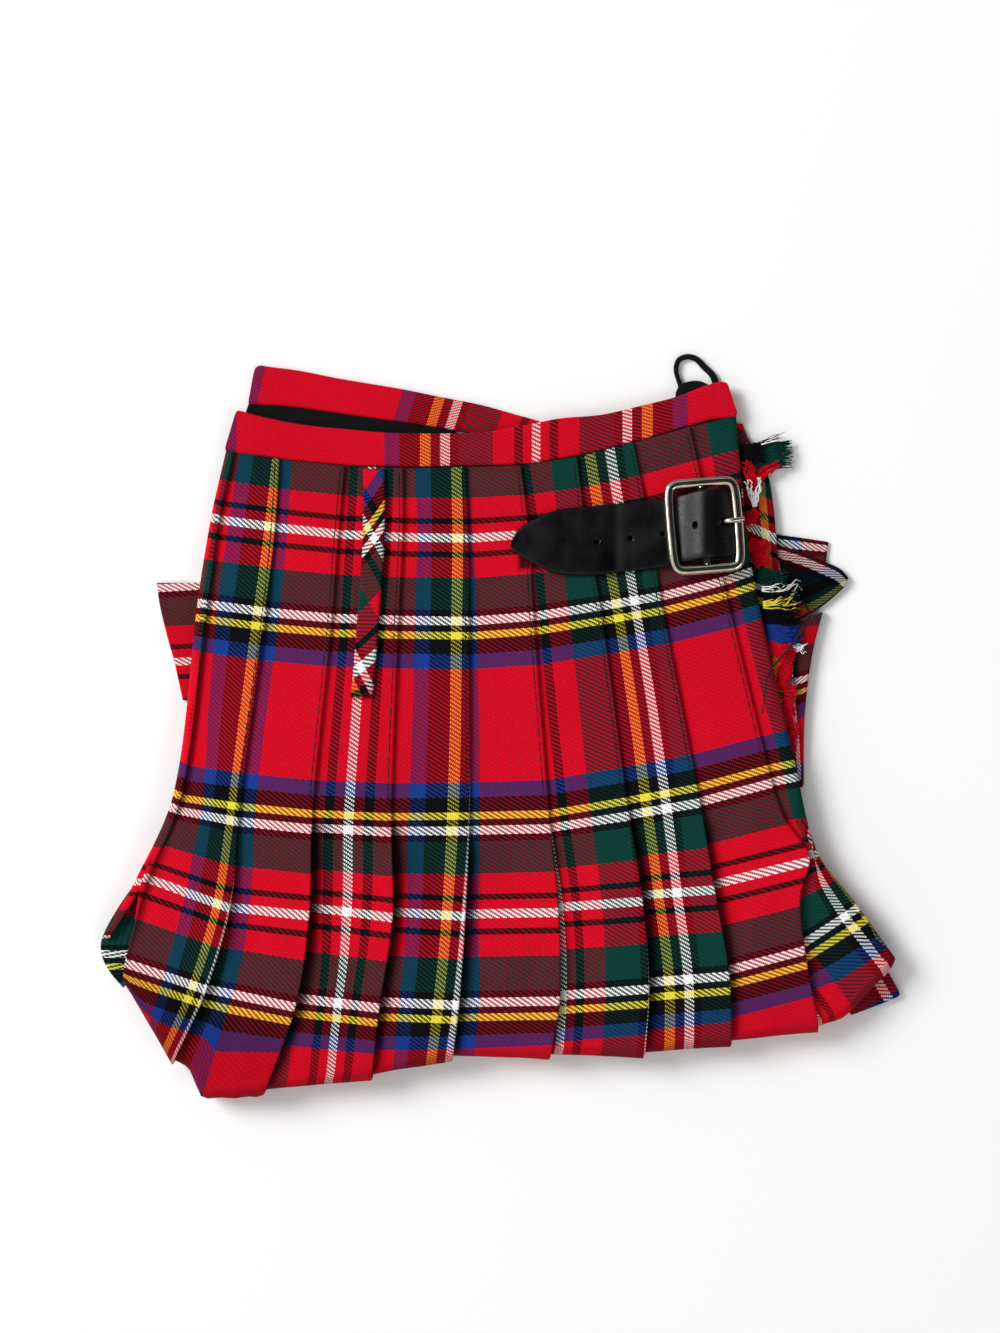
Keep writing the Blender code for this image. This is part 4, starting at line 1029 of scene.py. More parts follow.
def slab_rows(first, second, count, columns, underside, thick, marks, edge):
    """Closed rings between two outlines; marks is called with x, y, share along, share across."""
    rings = []
    for index in range(count + 1):
        along = index / count
        start, end = along_curve(first, along), along_curve(second, along)
        way = (end - start).normalized()
        ring = []
        for column in range(columns + 1):
            plan = between(start + way * edge, end - way * edge, column / columns)
            low = underside(plan.x, plan.y) if callable(underside) else underside
            ring.append((plan, low, low + thick, column / columns))
        loop = [(raised(plan, high), marks(plan.x, plan.y, along, across))
                for plan, low, high, across in ring]
        for place, side, turns in ((ring[-1], 1.0, EDGE_TURNS), (ring[0], -1.0, EDGE_TURNS[::-1])):
            plan, low, high, across = place
            bend = []
            for turn in turns:
                angle = math.radians(turn)
                shift = way * (side * edge * math.sin(angle))
                point = raised(plan + shift, (low + high) / 2 + thick / 2 * math.cos(angle))
                past = across + side * edge * angle / (end - start).length
                bend.append((point, marks(point.x, point.y, along, past)))
            loop += bend
            if side > 0:
                loop += [(raised(plan, low), marks(plan.x, plan.y, along, across))
                         for plan, low, high, across in reversed(ring)]
        rings.append(loop + [loop[0]])
    return rings


def slab(name, first, second, count, columns, underside, thick, marks, finish, replaces,
         edge=0.6):
    """Closed sheet between two outlines, with rounded long edges; its underside may be level."""
    loops = slab_rows(first, second, count, columns, underside, thick, marks, edge)
    return add_piece(name, capped_skin(loops, columns + 1, len(EDGE_TURNS)), finish,
                     replaces)


def plain_marks(x, y, along, across):
    return x, y

# %% [markdown]
# ## Stripes of the bands and side sheets
# Each sheet has its own rule for its marks, measured from where a stripe crosses it. The bands are
# cut so that the warp stripes stand upright on them, through the middle of a red weft stripe.

# %% Marks of the sheets
def px(x):
    return x / SCALE + 500.0


def py(y):
    return 727.5 - y / SCALE


# pixels of the photo that the marks of each sheet are counted from, across or down
BAND_AT = 311.5
BACK_AT = 334.0
HEM_LEFT_AT = (190.0, 663.0)
HEM_LEFT_LEVEL = 157.0
HEM_RIGHT_AT = 802.0
SIDE_LAYER_AT = 819.0
POCKET_AT = 881.0
POCKET_UPPER = 900.0
CORNER_AT = (882.0, 988.0)
APRON_AT = (761.5, 505.0)
APRON_LEVEL = 766.0
APRON_RED = 462.0       # above this level the apron's edge is red
APRON_SHADED = (455.0, 486.0)     # and between these it gets painted shade, for the shadow under the fringe's root
WIDE_RED = 187.75       # pixels from the middle of the narrow white weft stripe to the wide red


def band_marks(x, y, along, across):
    return (px(x) - BAND_AT) * SCALE, (WIDE_RED + 34.0 * (across - 0.5)) * SCALE


def back_marks(x, y, along, across):
    warp, weft = (px(x) - BACK_AT + 8.0 * across) * 1.08, WIDE_RED - 38.0 * (across - 0.5)
    return warp * SCALE, weft * SCALE


def hem_left_marks(x, y, along, across):
    level = py(y) + 0.06 * (px(x) - HEM_LEFT_LEVEL)
    return (px(x) - HEM_LEFT_AT[0]) * SCALE, (level - HEM_LEFT_AT[1]) * 1.12 * SCALE


def hem_right_marks(x, y, along, across):
    # the third mark is painted shade, light and even over the whole layer
    return (73.5 - (px(x) - HEM_RIGHT_AT)) * SCALE, (91.0 - across * 33.0) * SCALE, 0.2


def hem_flap_marks(x, y, along, across):
    """A white weft stripe runs along its upper edge, a yellow warp stripe along its lower one."""
    start, end = along_curve(HEM_FLAP_UPPER, along), along_curve(HEM_FLAP_LOWER, along)
    width = (end - start).length / SCALE
    # painted shade: the flap's inside is darkened deeply, and the whole flap at least halfway
    inside_shade = clamped((across * width - 10.0) / 4.0)
    inside_shade *= clamped(((1.0 - across) * width - 17.0) / 4.0)
    warp, weft = 121.5 - (1.0 - across) * width, 91.0 - across * width
    return warp * SCALE, weft * SCALE, max(0.96 * inside_shade, 0.5)


SIDE_LAYER_WEFT = ((597, 73), (624, 44), (629, 40), (640, 22), (646, 40), (660, 58), (675, 76),
                   (678, 80), (684, 88), (690, 94.5), (695, 102), (705, 117), (720, 132),
                   (765, 243), (775, 259), (790, 273), (795, 278), (800, 290), (815, 320),
                   (830, 334))


def side_layer_marks(x, y, along, across):
    level = py(y) + 6.0 * (across - 0.5)
    warp, weft = 181.0 - (px(x) - SIDE_LAYER_AT), straight(SIDE_LAYER_WEFT, level)
    # the third mark is painted shade, light and even over the whole sheet
    return warp * SCALE, weft * SCALE, 0.14


def pocket_marks(x, y, along, across):
    upper = clamped((POCKET_UPPER - py(y)) / 25.0)
    warp, weft = -160.0 - 30.0 * upper - 8.0 * across, 374.75 + (py(y) - POCKET_AT) * 1.175
    return warp * SCALE, weft * SCALE


def corner_marks(x, y, along, across):
    """The white stripe slants down to the corner's tip, which is blue."""
    right, down = px(x) - CORNER_AT[0], py(y) - CORNER_AT[1]
    warp, weft = 0.85 * right - 0.52 * down, 0.52 * right + 0.85 * down - 7.5
    return 144.3 + warp * SCALE, 111.5 + weft * SCALE


# the over-apron's edge: level down the kilt, weft mark there
APRON_WEFT = ((428, -30), (458, -52), (464, -70), (484, -60), (498, -40.7), (513, -20.5),
              (521.5, -14), (529.5, -4.5), (540.5, 4.5), (549, 14), (555, 20.5), (571, 41),
              (584, 73), (590, 84), (604, 98), (720, 214))


def apron_marks(x, y, along, across):
    """A yellow warp stripe runs down near the edge, and the cloth curls there."""
    level = py(y) - 0.5 * (px(x) - APRON_LEVEL)
    red = clamped((APRON_RED - level) / 5.0)
    # painted shade: a band of the edge is darkened deeply, for the shadow under the fringe
    shade_band = clamped((level - APRON_SHADED[0]) / 5.0) * clamped((APRON_SHADED[1] - level) / 8.0)
    strip = 113.5 + 1.3 * (px(x) - APRON_AT[0] - 0.09 * (level - APRON_AT[1])) - 38.0 * red
    return strip * SCALE, straight(APRON_WEFT, level) * SCALE, 0.97 * shade_band

# %% Bands and side sheets
def waist_height(x, y):
    return stack(x, y) - CORE_CLEAR + GAP


def apron_height(x, y):
    return table(APRON_HEIGHTS, y)


# Black cotton: a plain weave of dull threads half a millimetre apart, soft and without shine.
cotton, tree, shader = new_material("black_woven_cotton", Roughness=0.9, Specular_IOR_Level=0.15,
                                    Sheen_Weight=0.03, Sheen_Roughness=0.5)
place = node(tree, "TexCoord").outputs["Object"]
ribs = node(tree, "TexWave", {"Vector": place, "Scale": 620.0, "Distortion": 1.5,
                              "Detail": 2.0, "Detail Scale": 1.5})
cross = node(tree, "TexWave", {"Vector": place, "Scale": 620.0, "Distortion": 1.5},
             bands_direction="Y")
grid = node(tree, "Math", {0: ribs.outputs["Fac"], 1: cross.outputs["Fac"]},
            operation="MAXIMUM")
ramp = node(tree, "ValToRGB", {0: grid.outputs[0]})
ramp.color_ramp.elements[0].color = colour("030304")
ramp.color_ramp.elements[1].color = colour("0E0E11")
tree.links.new(ramp.outputs[0], shader.inputs["Base Color"])
bump = node(tree, "Bump", {"Strength": 0.5, "Distance": 0.0001,
                           "Height": grid.outputs[0]})
tree.links.new(bump.outputs[0], shader.inputs["Normal"])

lining_top = [(x, y + GAP) for x, y in (BACK_SEAM[1],) + BACK_SEAM[4:9]]
hem_inner = [(fold_x(FOLDS[0], y) + HEM_LEFT_UNDER, y) for y in HEM_LEFT_LEVELS]
apron_outer = [along_curve(APRON_OUTER, step / 40) for step in range(41)]
apron_inner = [Vector((fold_x(FOLDS[-1], point.y) - APRON_INNER_SHIFT, point.y))
               for point in apron_outer]
SHEETS = (
    # piece, node, two outlines, steps along and across, underside, thickness, marks, edge
    ("waistband_front", "waistband", BAND_TOP, BAND_SEAM, 150, 10, waist_height, 3.0,
     band_marks, 1.3),
    ("waistband_back", "apron_waistband", BACK_TOP, BACK_SEAM, 100, 10, 0.0, 3.0, back_marks, 1.3),
    ("lining_black", "lining_strip", lining_top, LINING_LOW, 60, 5, 0.0, CLOTH, plain_marks, 0.5),
    ("hem_corner_left", "hem_left", HEM_LEFT_OUTER, hem_inner, 60, 14, 0.0, CLOTH,
     hem_left_marks, 0.6),
    ("hem_layer_right", "hem_right", HEM_RIGHT_UPPER, HEM_RIGHT_LOWER, 40, 12, 0.0, CLOTH,
     hem_right_marks, 0.6),
    ("hem_flap_right", "hem_flap", HEM_FLAP_UPPER, HEM_FLAP_LOWER, 60, 40, CLOTH + GAP, CLOTH,
     hem_flap_marks, 0.6),
    ("side_fold_right", "side_layer", SIDE_LAYER_LEFT, SIDE_LAYER_RIGHT, 80, 10, 0.0, 5.0,
     side_layer_marks, 1.6),
    ("side_pocket_left", "side_pocket", POCKET_OUTER, POCKET_INNER, 70, 8, 0.0, 6.0,
     pocket_marks, 1.6),
    ("foot_corner_right", "foot_corner", CORNER_INNER, CORNER_OUTER, 40, 10, 0.0, 4.0,
     corner_marks, 1.0),
    ("apron_edge_right", "apron_edge", apron_outer, apron_inner, 120, 8, apron_height, CLOTH,
     apron_marks, 0.6),
)
for name, solid, first, second, count, columns, underside, thick, marks, edge in SHEETS:
    finish, slot = (cotton, "black_cotton") if marks is plain_marks else (worsted, "tartan")
    slab(name, first, second, count, columns, underside, thick, marks, finish, [solid], edge)

# %% [markdown]
# ## Belt loop
# The loop is a narrow tube of tartan cut on the bias, so its stripes run slantwise. It is sewn
# down at both ends and arches a little off the pleats between them.

# %% Belt loop
LOOP_LINE = ((-57.1, 117.6), (-57.1, 104.0), (-57.6, 76.5), (-59.0, 58.3), (-60.3, 40.0),
             (-61.7, 21.7), (-62.6, 14.2))
LOOP_WIDTH = 10.0
LOOP_ARCH = 0.9
LOOP_CROSSINGS = ((375.0, 539.0), (361.7, 667.5))      # where two white stripes cross on it


def face_top(x, y):
    places = [fold_x(fold, y) for fold in FOLDS]
    share = 0.0
    for left, right in zip(places, places[1:]):
        if left <= x <= right:
            share = (x - left) / (right - left)
    low = PLEAT_LOW + CLOTH
    return stack(x, y) + low + (PLEAT_RISE - low) * share


def loop_height(x, y):
    middle = (LOOP_LINE[0][1] + LOOP_LINE[-1][1]) / 2
    arch = 1.0 - ((y - middle) / (LOOP_LINE[0][1] - middle)) ** 2
    return face_top(x, y) + GAP + LOOP_ARCH * max(arch, 0.0)


def loop_marks(x, y, along, across):
    """The stripes lean more steeply at the top than at the bottom, where the tube is slack."""
    (top_x, top_y), (low_x, low_y) = LOOP_CROSSINGS
    share = (py(y) - top_y) / (low_y - top_y)
    right = px(x) - between(top_x, low_x, share)
    warp = 224.5 - 91.25 * share + between(1.0, 1.12, share) * right
    weft = -84.0 + 84.0 * share + between(0.97, 0.55, share) * right
    tacked_end_shade = clamped((py(y) - 689.0) / 4.0)      # its end is turned under, with black stitches: both drawn as painted shade
    return warp * SCALE, weft * SCALE, 0.75 * tacked_end_shade


sides = [[(x + side * LOOP_WIDTH, y) for x, y in LOOP_LINE] for side in (-0.5, 0.5)]
slab("belt_loop_bias", sides[0], sides[1], 120, 10, loop_height, 2.2, loop_marks, worsted,
     ["belt_loop"], 1.0)

# %% [markdown]
# ## Strap and buckle
# The strap is black bridle leather, about 2 mm thick, with a rounded point and punched holes. It
# comes from under the over-apron, lies over the middle bar of a nickel-plated frame and under its
# inner bar, and the prong stands through its last hole. It is smooth, polished and a little worn,
# so its grain shows only as a fine pebble.

# %% Leather
# Black bridle leather: waxed and polished, with a fine pebble and a gloss made uneven by wear.
leather, tree, shader = new_material("black_bridle_leather", Roughness=0.33,
                                     Specular_IOR_Level=0.22)
place = node(tree, "TexCoord").outputs["Object"]
grain = node(tree, "TexVoronoi", {"Vector": place, "Scale": 1400.0})
wear = node(tree, "TexNoise", {"Vector": place, "Scale": 90.0, "Detail": 5.0})
ramp = node(tree, "ValToRGB", {0: wear.outputs[0]})
ramp.color_ramp.elements[0].position = 0.35
ramp.color_ramp.elements[0].color = colour("050507")
ramp.color_ramp.elements[1].position = 0.75
ramp.color_ramp.elements[1].color = colour("101014")
tree.links.new(ramp.outputs[0], shader.inputs["Base Color"])
gloss = node(tree, "MapRange", {0: wear.outputs[0], 1: 0.3, 2: 0.7, 3: 0.24, 4: 0.42})
tree.links.new(gloss.outputs[0], shader.inputs["Roughness"])
fine = node(tree, "TexNoise", {"Vector": place, "Scale": 400.0, "Detail": 3.0})
height = node(tree, "Math", {0: grain.outputs[0], 1: 0.5, 2: fine.outputs[0]},
              operation="MULTIPLY_ADD")
bump = node(tree, "Bump", {"Strength": 0.35, "Distance": 0.00015,
                           "Height": height.outputs[0]})
tree.links.new(bump.outputs[0], shader.inputs["Normal"])

# %% Strap outline
STRAP_UPPER = ((4.9, 84.6), (8.5, 90.0), (13.7, 93.5), (24.0, 98.4), (40.0, 100.6), (58.0, 102.2),
               (74.0, 104.0), (82.0, 105.7), (90.0, 107.5), (98.0, 108.8), (104.0, 109.4),
               (109.4, 109.7))
STRAP_LOWER = ((4.6, 82.4), (8.5, 78.4), (13.7, 75.1), (24.0, 70.4), (40.0, 69.2), (58.0, 70.9),
               (74.0, 72.8), (82.0, 74.6), (90.0, 76.4), (98.0, 77.3), (104.0, 77.9),
               (110.0, 78.2))
STRAP_FLAT = 0.3            # the strap's underside over its bed, where it lies flat
STRAP_CLIMB = (13.2, 5.85)  # length of its climb to the middle bar, and the height of it
STRAP_FALL = 5.7            # how far it comes down again behind the bar
STRAP_DIVE = ((105.4, 0.45), (110.5, 0.0), (115.5, -2.6))     # and then goes under the apron
STRAP_DENT = (0.5, 52.0, 3.0)       # a dent across it: depth, place and half length
HOLES = ((43.9, 84.3, 1.15), (59.0, 86.1, 1.15), (73.6, 88.0, 1.15), (88.0, 92.0, 1.15),
         (101.6, 93.3, 1.9))
BUCKLE_PLACE = (92.5, 91.3)
BUCKLE_TURN = 4.5
BUCKLE_SIZE = (35.0, 43.9)
BUCKLE_BAR = 4.4
TAB_HALF = (7.5, 16.0)      # half width and half length of the tab that holds the buckle
BED_REACH = 16.5
BED_BLEND = (58.0, 78.0)


def pleat_crest(x, y):
    return stack(x, y) + PLEAT_RISE


def bed_slope():
    x, y = BUCKLE_PLACE
    return (pleat_crest(x, y + BED_REACH) - pleat_crest(x, y - BED_REACH)) / (2 * BED_REACH)


def buckle_bed(x, y):
    low = pleat_crest(BUCKLE_PLACE[0] - BED_REACH, BUCKLE_PLACE[1] - BED_REACH)
    return low + bed_slope() * (y - BUCKLE_PLACE[1] + BED_REACH)


def bed(x, y):
    share = clamped((x - BED_BLEND[0]) / (BED_BLEND[1] - BED_BLEND[0]))
    return between(pleat_crest(x, y), max(pleat_crest(x, y), buckle_bed(x, y)), share)


def strap_rise(x):
    """Height of the strap's underside over its bed, as it climbs over the middle bar."""
    top = BUCKLE_PLACE[0] + 0.5
    reach, rise = STRAP_CLIMB
    end, end_rise = STRAP_DIVE[0]
    if x < top - reach:
        return STRAP_FLAT
    if x > end:
        return table(STRAP_DIVE, x)
    if x < top:
        share = 1.0 - (top - x) / reach
        return STRAP_FLAT + rise * between(math.sin(math.pi / 2 * share), soft(share), 0.7)
    return end_rise + STRAP_FALL * soft((end - x) / (end - top))


def strap_height(x, y):
    depth, middle, half = STRAP_DENT
    return bed(x, y) + strap_rise(x) - depth * math.exp(-((x - middle) / half) ** 2)


strap = slab("leather_strap", STRAP_UPPER, STRAP_LOWER, 180, 14, strap_height, 2.2,
             plain_marks, leather, ["strap"], 0.8)
cutters = bmesh.new()
for x, y, radius in HOLES:
    made = bmesh.ops.create_cone(cutters, cap_ends=True, segments=28, radius1=radius * MM,
                                 radius2=radius * MM, depth=40 * MM)
    bmesh.ops.translate(cutters, verts=made["verts"], vec=Vector((x, y, 10.0)) * MM)
punch = in_scene("punch", cutters)
cut = strap.modifiers.new("Holes", "BOOLEAN")
cut.object = punch
cut.operation = "DIFFERENCE"
cut.solver = "EXACT"
bpy.context.view_layer.update()
graph = bpy.context.evaluated_depsgraph_get()
strap_data = bpy.data.meshes.new_from_object(strap.evaluated_get(graph))
strap.modifiers.clear()
strap.data = strap_data
bpy.data.objects.remove(punch)
print("holes in the strap:", len(HOLES))

turn = math.radians(BUCKLE_TURN)
corners = [(BUCKLE_PLACE[0] + x * math.cos(turn) - y * math.sin(turn),
            BUCKLE_PLACE[1] + x * math.sin(turn) + y * math.cos(turn))
           for x in (-TAB_HALF[0], TAB_HALF[0]) for y in (TAB_HALF[1], -TAB_HALF[1])]


def tab_height(x, y):
    return buckle_bed(x, y) + GAP


tab = slab("leather_tab", corners[:2], corners[2:], 30, 8, tab_height, 1.5, plain_marks,
           leather, ["buckle_tab"])

# %% [markdown]
# ## Plated steel
# The frame is a bent and ground steel bar under polished nickel, which is slightly warm in colour.
# Polishing leaves very fine, uneven marks. The bar's section is a soft oblong, and its long sides
# bow outward a little. The prong is a steel wire that is hooked on the middle bar.

# %% Buckle
# Polished nickel plate: a warm mirror with a faint haze of polishing marks.
nickel, tree, shader = new_material("polished_nickel_plate", Metallic=1.0, Roughness=0.10)
place = node(tree, "TexCoord").outputs["Object"]
haze = node(tree, "TexNoise", {"Vector": place, "Scale": 160.0, "Detail": 6.0})
ramp = node(tree, "ValToRGB", {0: haze.outputs[0]})
ramp.color_ramp.elements[0].position = 0.3
ramp.color_ramp.elements[0].color = colour("B9AE9C")
ramp.color_ramp.elements[1].position = 0.7
ramp.color_ramp.elements[1].color = colour("E2DACB")
tree.links.new(ramp.outputs[0], shader.inputs["Base Color"])
gloss = node(tree, "MapRange", {0: haze.outputs[0], 1: 0.3, 2: 0.7, 3: 0.03, 4: 0.11})
tree.links.new(gloss.outputs[0], shader.inputs["Roughness"])
bump = node(tree, "Bump", {"Strength": 0.15, "Distance": 0.0001,
                           "Height": haze.outputs[0]})
tree.links.new(bump.outputs[0], shader.inputs["Normal"])

BUCKLE_LIFT = 2.9
BUCKLE_THICK = 3.4
CENTRE_LIFT = 4.1
FRAME_BOW = 0.5
FRAME_STEPS = 120
SLEEVE_REACH = 17.4     # the tab wraps the middle bar as far as the frame leaves it free


def buckle_place(point):
    """A point of the buckle, laid on its sloping bed."""
    slope = math.atan(bed_slope())
    turned = Matrix.Rotation(turn, 3, "Z") @ Matrix.Rotation(slope, 3, "X") @ point
    return turned + Vector((*BUCKLE_PLACE, buckle_bed(*BUCKLE_PLACE)))


def soft_box(count, half_x, half_y, power):
    """Points round a rectangle with soft corners; a lower power makes them tighter."""
    points = []
    for step in range(count):
        way = 2 * math.pi * step / count
        points.append([math.copysign(abs(part) ** power, part) * half
                       for part, half in ((math.cos(way), half_x), (math.sin(way), half_y))])
    return points


def frame_line():
    """Middle line of the frame's bar, with soft corners and bowed sides."""
    half_x = BUCKLE_SIZE[0] / 2 - BUCKLE_BAR / 2 - FRAME_BOW
    half_y = BUCKLE_SIZE[1] / 2 - BUCKLE_BAR / 2
    height = BUCKLE_LIFT + BUCKLE_THICK / 2
    return [Vector((x + math.copysign(FRAME_BOW * (1.0 - (y / half_y) ** 2), x), y, height))
            for x, y in soft_box(FRAME_STEPS, half_x, half_y, 0.22)]


def oblong(width, height, steps, power):
    """Section of a bar."""
    return soft_box(steps, width / 2, height / 2, power)


def pinched(row):
    """A closed row, drawn together to its middle."""
    middle = sum((point for point, marks in row[:-1]), Vector()) / (len(row) - 1)
    return [(middle, marks) for point, marks in row]


def swept(line, section, closed=False, place=None):
    """Bar swept along a line: section is called with the step's share and gives its outline."""
    rows = []
    count = len(line)
    for step in range(count + closed):
        here = line[step % count]
        before = line[(step - 1) % count if closed else max(step - 1, 0)]
        after = line[(step + 1) % count if closed else min(step + 1, count - 1)]
        run = (after - before).normalized()
        out = Vector((run.y, -run.x, 0.0)).normalized()
        up = out.cross(run).normalized() * -1.0
        row = []
        for x, z in section(step / (count if closed else count - 1)):
            point = here + out * x + up * z
            row.append((place(point) if place else point, (0.0, 0.0)))
        rows.append(row + [row[0]])
    return closed_skin(rows if closed else [pinched(rows[0])] + rows + [pinched(rows[-1])])


def middle_bar(reach, steps, width, height, sides):
    """A round bar up the middle of the frame."""
    line = [Vector((0.0, between(-reach, reach, step / steps), CENTRE_LIFT))
            for step in range(steps + 1)]
    return swept(line, lambda share: oblong(width, height, sides, 1.0), place=buckle_place)


frame_mesh = swept(frame_line(), lambda share: oblong(BUCKLE_BAR, BUCKLE_THICK, 24, 0.78),
                   True, buckle_place)
gather(frame_mesh, middle_bar(BUCKLE_SIZE[1] / 2 - BUCKLE_BAR / 2, 20, 3.2, 3.2, 14))
add_piece("buckle_frame_nickel", frame_mesh, nickel, ["buckle_frame"])

sleeve = middle_bar(SLEEVE_REACH, 10, 4.4, 3.7, 16)
sleeve.from_mesh(tab.data)
sleeve.to_mesh(tab.data)
sleeve.free()

PRONG = ((95.2, 92.8, 3.3), (97.6, 93.0, 3.1), (99.6, 93.2, 3.1), (101.2, 93.4, 4.6),
         (102.2, 93.6, 6.4), (104.2, 93.8, 7.4), (107.4, 94.2, 7.2), (110.2, 94.6, 7.0))
points = [Vector((x, y, buckle_bed(x, y) + lift)) for x, y, lift in PRONG]
prong = swept(sampled(points, 5), lambda share: oblong(3.1 - 0.9 * share, 2.4, 12, 0.9))
add_piece("buckle_prong_nickel", prong, nickel, ["buckle_prong"])

# %% [markdown]
# ## Hanging loop
# A loop of narrow black tape is sewn inside the band, for a hanger. It has sprung out beyond the
# band and lies on its side, with the end of another tape over it.

# %% Tapes
HANG_LINE = ((82.9, 151.0), (82.0, 157.0), (80.4, 163.0), (81.5, 167.6), (85.2, 169.3),
             (89.4, 168.4), (93.3, 164.6), (97.2, 160.6), (99.0, 155.0))
TAPE_OUTER = ((80.0, 148.5), (80.2, 153.0), (82.4, 156.4), (86.8, 158.0), (91.4, 158.0),
              (95.4, 156.2))
TAPE_INNER = ((82.0, 146.5), (84.0, 147.5), (86.0, 148.6), (88.6, 149.3), (91.6, 150.4),
              (94.4, 151.6))
HANG_HEIGHT = 1.2
TAPE_HEIGHT = 2.6
line = [raised(point, HANG_HEIGHT) for point in sampled(HANG_LINE, 8)]
tape = swept(line, lambda share: oblong(between(1.9, 3.2, share), 2.3, 14, 0.8))
add_piece("hanging_loop_tape", tape, cotton, ["hanging_loop"])
slab("tape_end_black", TAPE_OUTER, TAPE_INNER, 50, 8, TAPE_HEIGHT, CLOTH, plain_marks,
     cotton, ["tape_end"])

# %% [markdown]
# ## Fringe
# The over-apron's edge is frayed on purpose: warp threads are drawn out and the weft threads are
# left. So each thread of the fringe has the colour of the weft at its place on the edge. They are
# soft singles and twisted bunches, a few millimetres to two centimetres long, which lie in tangled
# groups.

# %% Fringe material and threads
# Frayed weft: each thread keeps the dye of its place on the edge, and is dull and a little fuzzy.
fringe_wool, tree, shader = new_material("frayed_weft_threads", Roughness=0.9,
                                         Specular_IOR_Level=0.05, Sheen_Weight=0.01, Sheen_Roughness=0.4)
marks = node(tree, "UVMap", uv_map="cloth").outputs[0]
split = node(tree, "SeparateXYZ", {0: marks})
dye = weft_dye(tree, split.outputs[1])
place = node(tree, "TexCoord").outputs["Object"]
fuzz = node(tree, "TexNoise", {"Vector": place, "Scale": 1500.0, "Detail": 2.0})
value = node(tree, "MapRange", {0: fuzz.outputs[0], 1: 0.3, 2: 0.7, 3: 0.7, 4: 1.1})
dyed = node(tree, "HueSaturation", {"Value": value.outputs[0], "Color": dye})
tree.links.new(dyed.outputs[0], shader.inputs["Base Color"])
bump = node(tree, "Bump", {"Strength": 0.6, "Distance": 0.0002, "Height": fuzz.outputs[0]})
tree.links.new(bump.outputs[0], shader.inputs["Normal"])

DYES = {"white": 0.8, "red": 13.0, "green": 26.0, "black": 35.0, "yellow": 45.0, "blue": 57.0}
TUFTS = (
    # dye, root x and y, tip x and y, half width at root and at tip, lift at both, threads, curl
    ("green", 115.5, 124.0, 132.5, 125.0, 6.0, 5.6, 2.6, 4.0, 130, 0.5),
    ("black", 111.5, 124.5, 120.0, 125.5, 4.6, 4.0, 4.2, 4.8, 40, 0.6),
    ("black", 113.5, 127.0, 129.5, 134.0, 0.9, 1.4, 4.6, 4.8, 6, 0.3),
    ("white", 119.0, 129.0, 129.5, 131.8, 0.5, 0.8, 4.9, 5.1, 2, 0.3),
    ("red", 112.5, 112.5, 127.5, 120.0, 2.8, 1.6, 4.0, 5.4, 22, 1.1),
    ("red", 115.5, 112.0, 111.5, 121.0, 2.2, 2.4, 6.0, 7.4, 15, 1.2),
    ("red", 115.5, 104.0, 115.5, 114.5, 1.2, 1.4, 5.6, 6.6, 8, 1.0),
    ("white", 116.0, 100.5, 112.5, 112.0, 1.0, 1.4, 6.6, 8.0, 5, 0.9),
    ("white", 116.0, 101.0, 118.5, 113.0, 1.0, 1.2, 6.6, 8.0, 5, 0.9),
    ("red", 117.0, 99.0, 112.8, 94.2, 2.0, 2.6, 6.2, 7.6, 18, 1.7),
    ("red", 114.0, 98.0, 113.0, 91.5, 1.4, 2.2, 6.4, 7.4, 12, 1.6),
    ("red", 112.5, 84.5, 122.0, 79.0, 2.6, 4.4, 5.8, 8.0, 34, 2.0),
    ("red", 116.5, 84.0, 119.0, 73.5, 2.4, 3.4, 6.0, 8.0, 22, 1.9),
    ("green", 117.0, 69.5, 130.0, 67.0, 3.6, 3.4, 5.0, 7.8, 56, 1.5),
    ("white", 119.0, 63.0, 136.0, 63.8, 1.2, 3.2, 7.6, 8.8, 5, 1.6),
    ("black", 119.5, 60.0, 136.0, 60.0, 3.4, 5.4, 7.0, 9.0, 46, 1.2),
    ("yellow", 119.5, 56.0, 136.5, 57.6, 1.6, 3.6, 7.8, 8.8, 8, 1.4),
    ("black", 120.0, 52.0, 136.5, 50.5, 4.2, 5.0, 6.8, 8.9, 90, 0.9),
    ("blue", 121.0, 43.0, 136.5, 42.6, 4.0, 4.2, 6.8, 8.4, 110, 0.5),
    ("red", 121.5, 37.0, 134.0, 33.5, 3.0, 3.2, 6.8, 8.4, 70, 0.9),
    ("white", 133.0, 36.8, 139.5, 36.0, 1.4, 2.0, 6.6, 7.6, 7, 1.0),
    ("red", 126.5, 25.0, 132.8, 24.0, 7.0, 7.0, 7.0, 7.6, 90, 0.5),
    ("black", 127.5, 22.0, 133.4, 21.0, 8.0, 8.0, 6.8, 7.2, 22, 0.4),
    ("red", 128.5, 10.0, 134.6, 9.4, 9.0, 9.0, 7.0, 7.4, 90, 0.4),
    ("black", 128.5, 8.0, 134.4, 7.4, 9.0, 9.0, 6.8, 7.2, 20, 0.4),
    ("red", 131.0, -5.0, 135.6, -5.5, 7.0, 7.0, 6.8, 7.2, 50, 0.4),
)
THREAD_RADIUS = 0.22
THREAD_STEPS = 8
THICKER = {"white": 1.5, "red": 1.3, "yellow": 1.3}     # these hang together in pairs


def draw(number, kind):
    """An even draw from 0 to 1 that is the same each time."""
    value = math.sin(12.9898 * number + 78.233 * kind) * 43758.5453
    return value - math.floor(value)


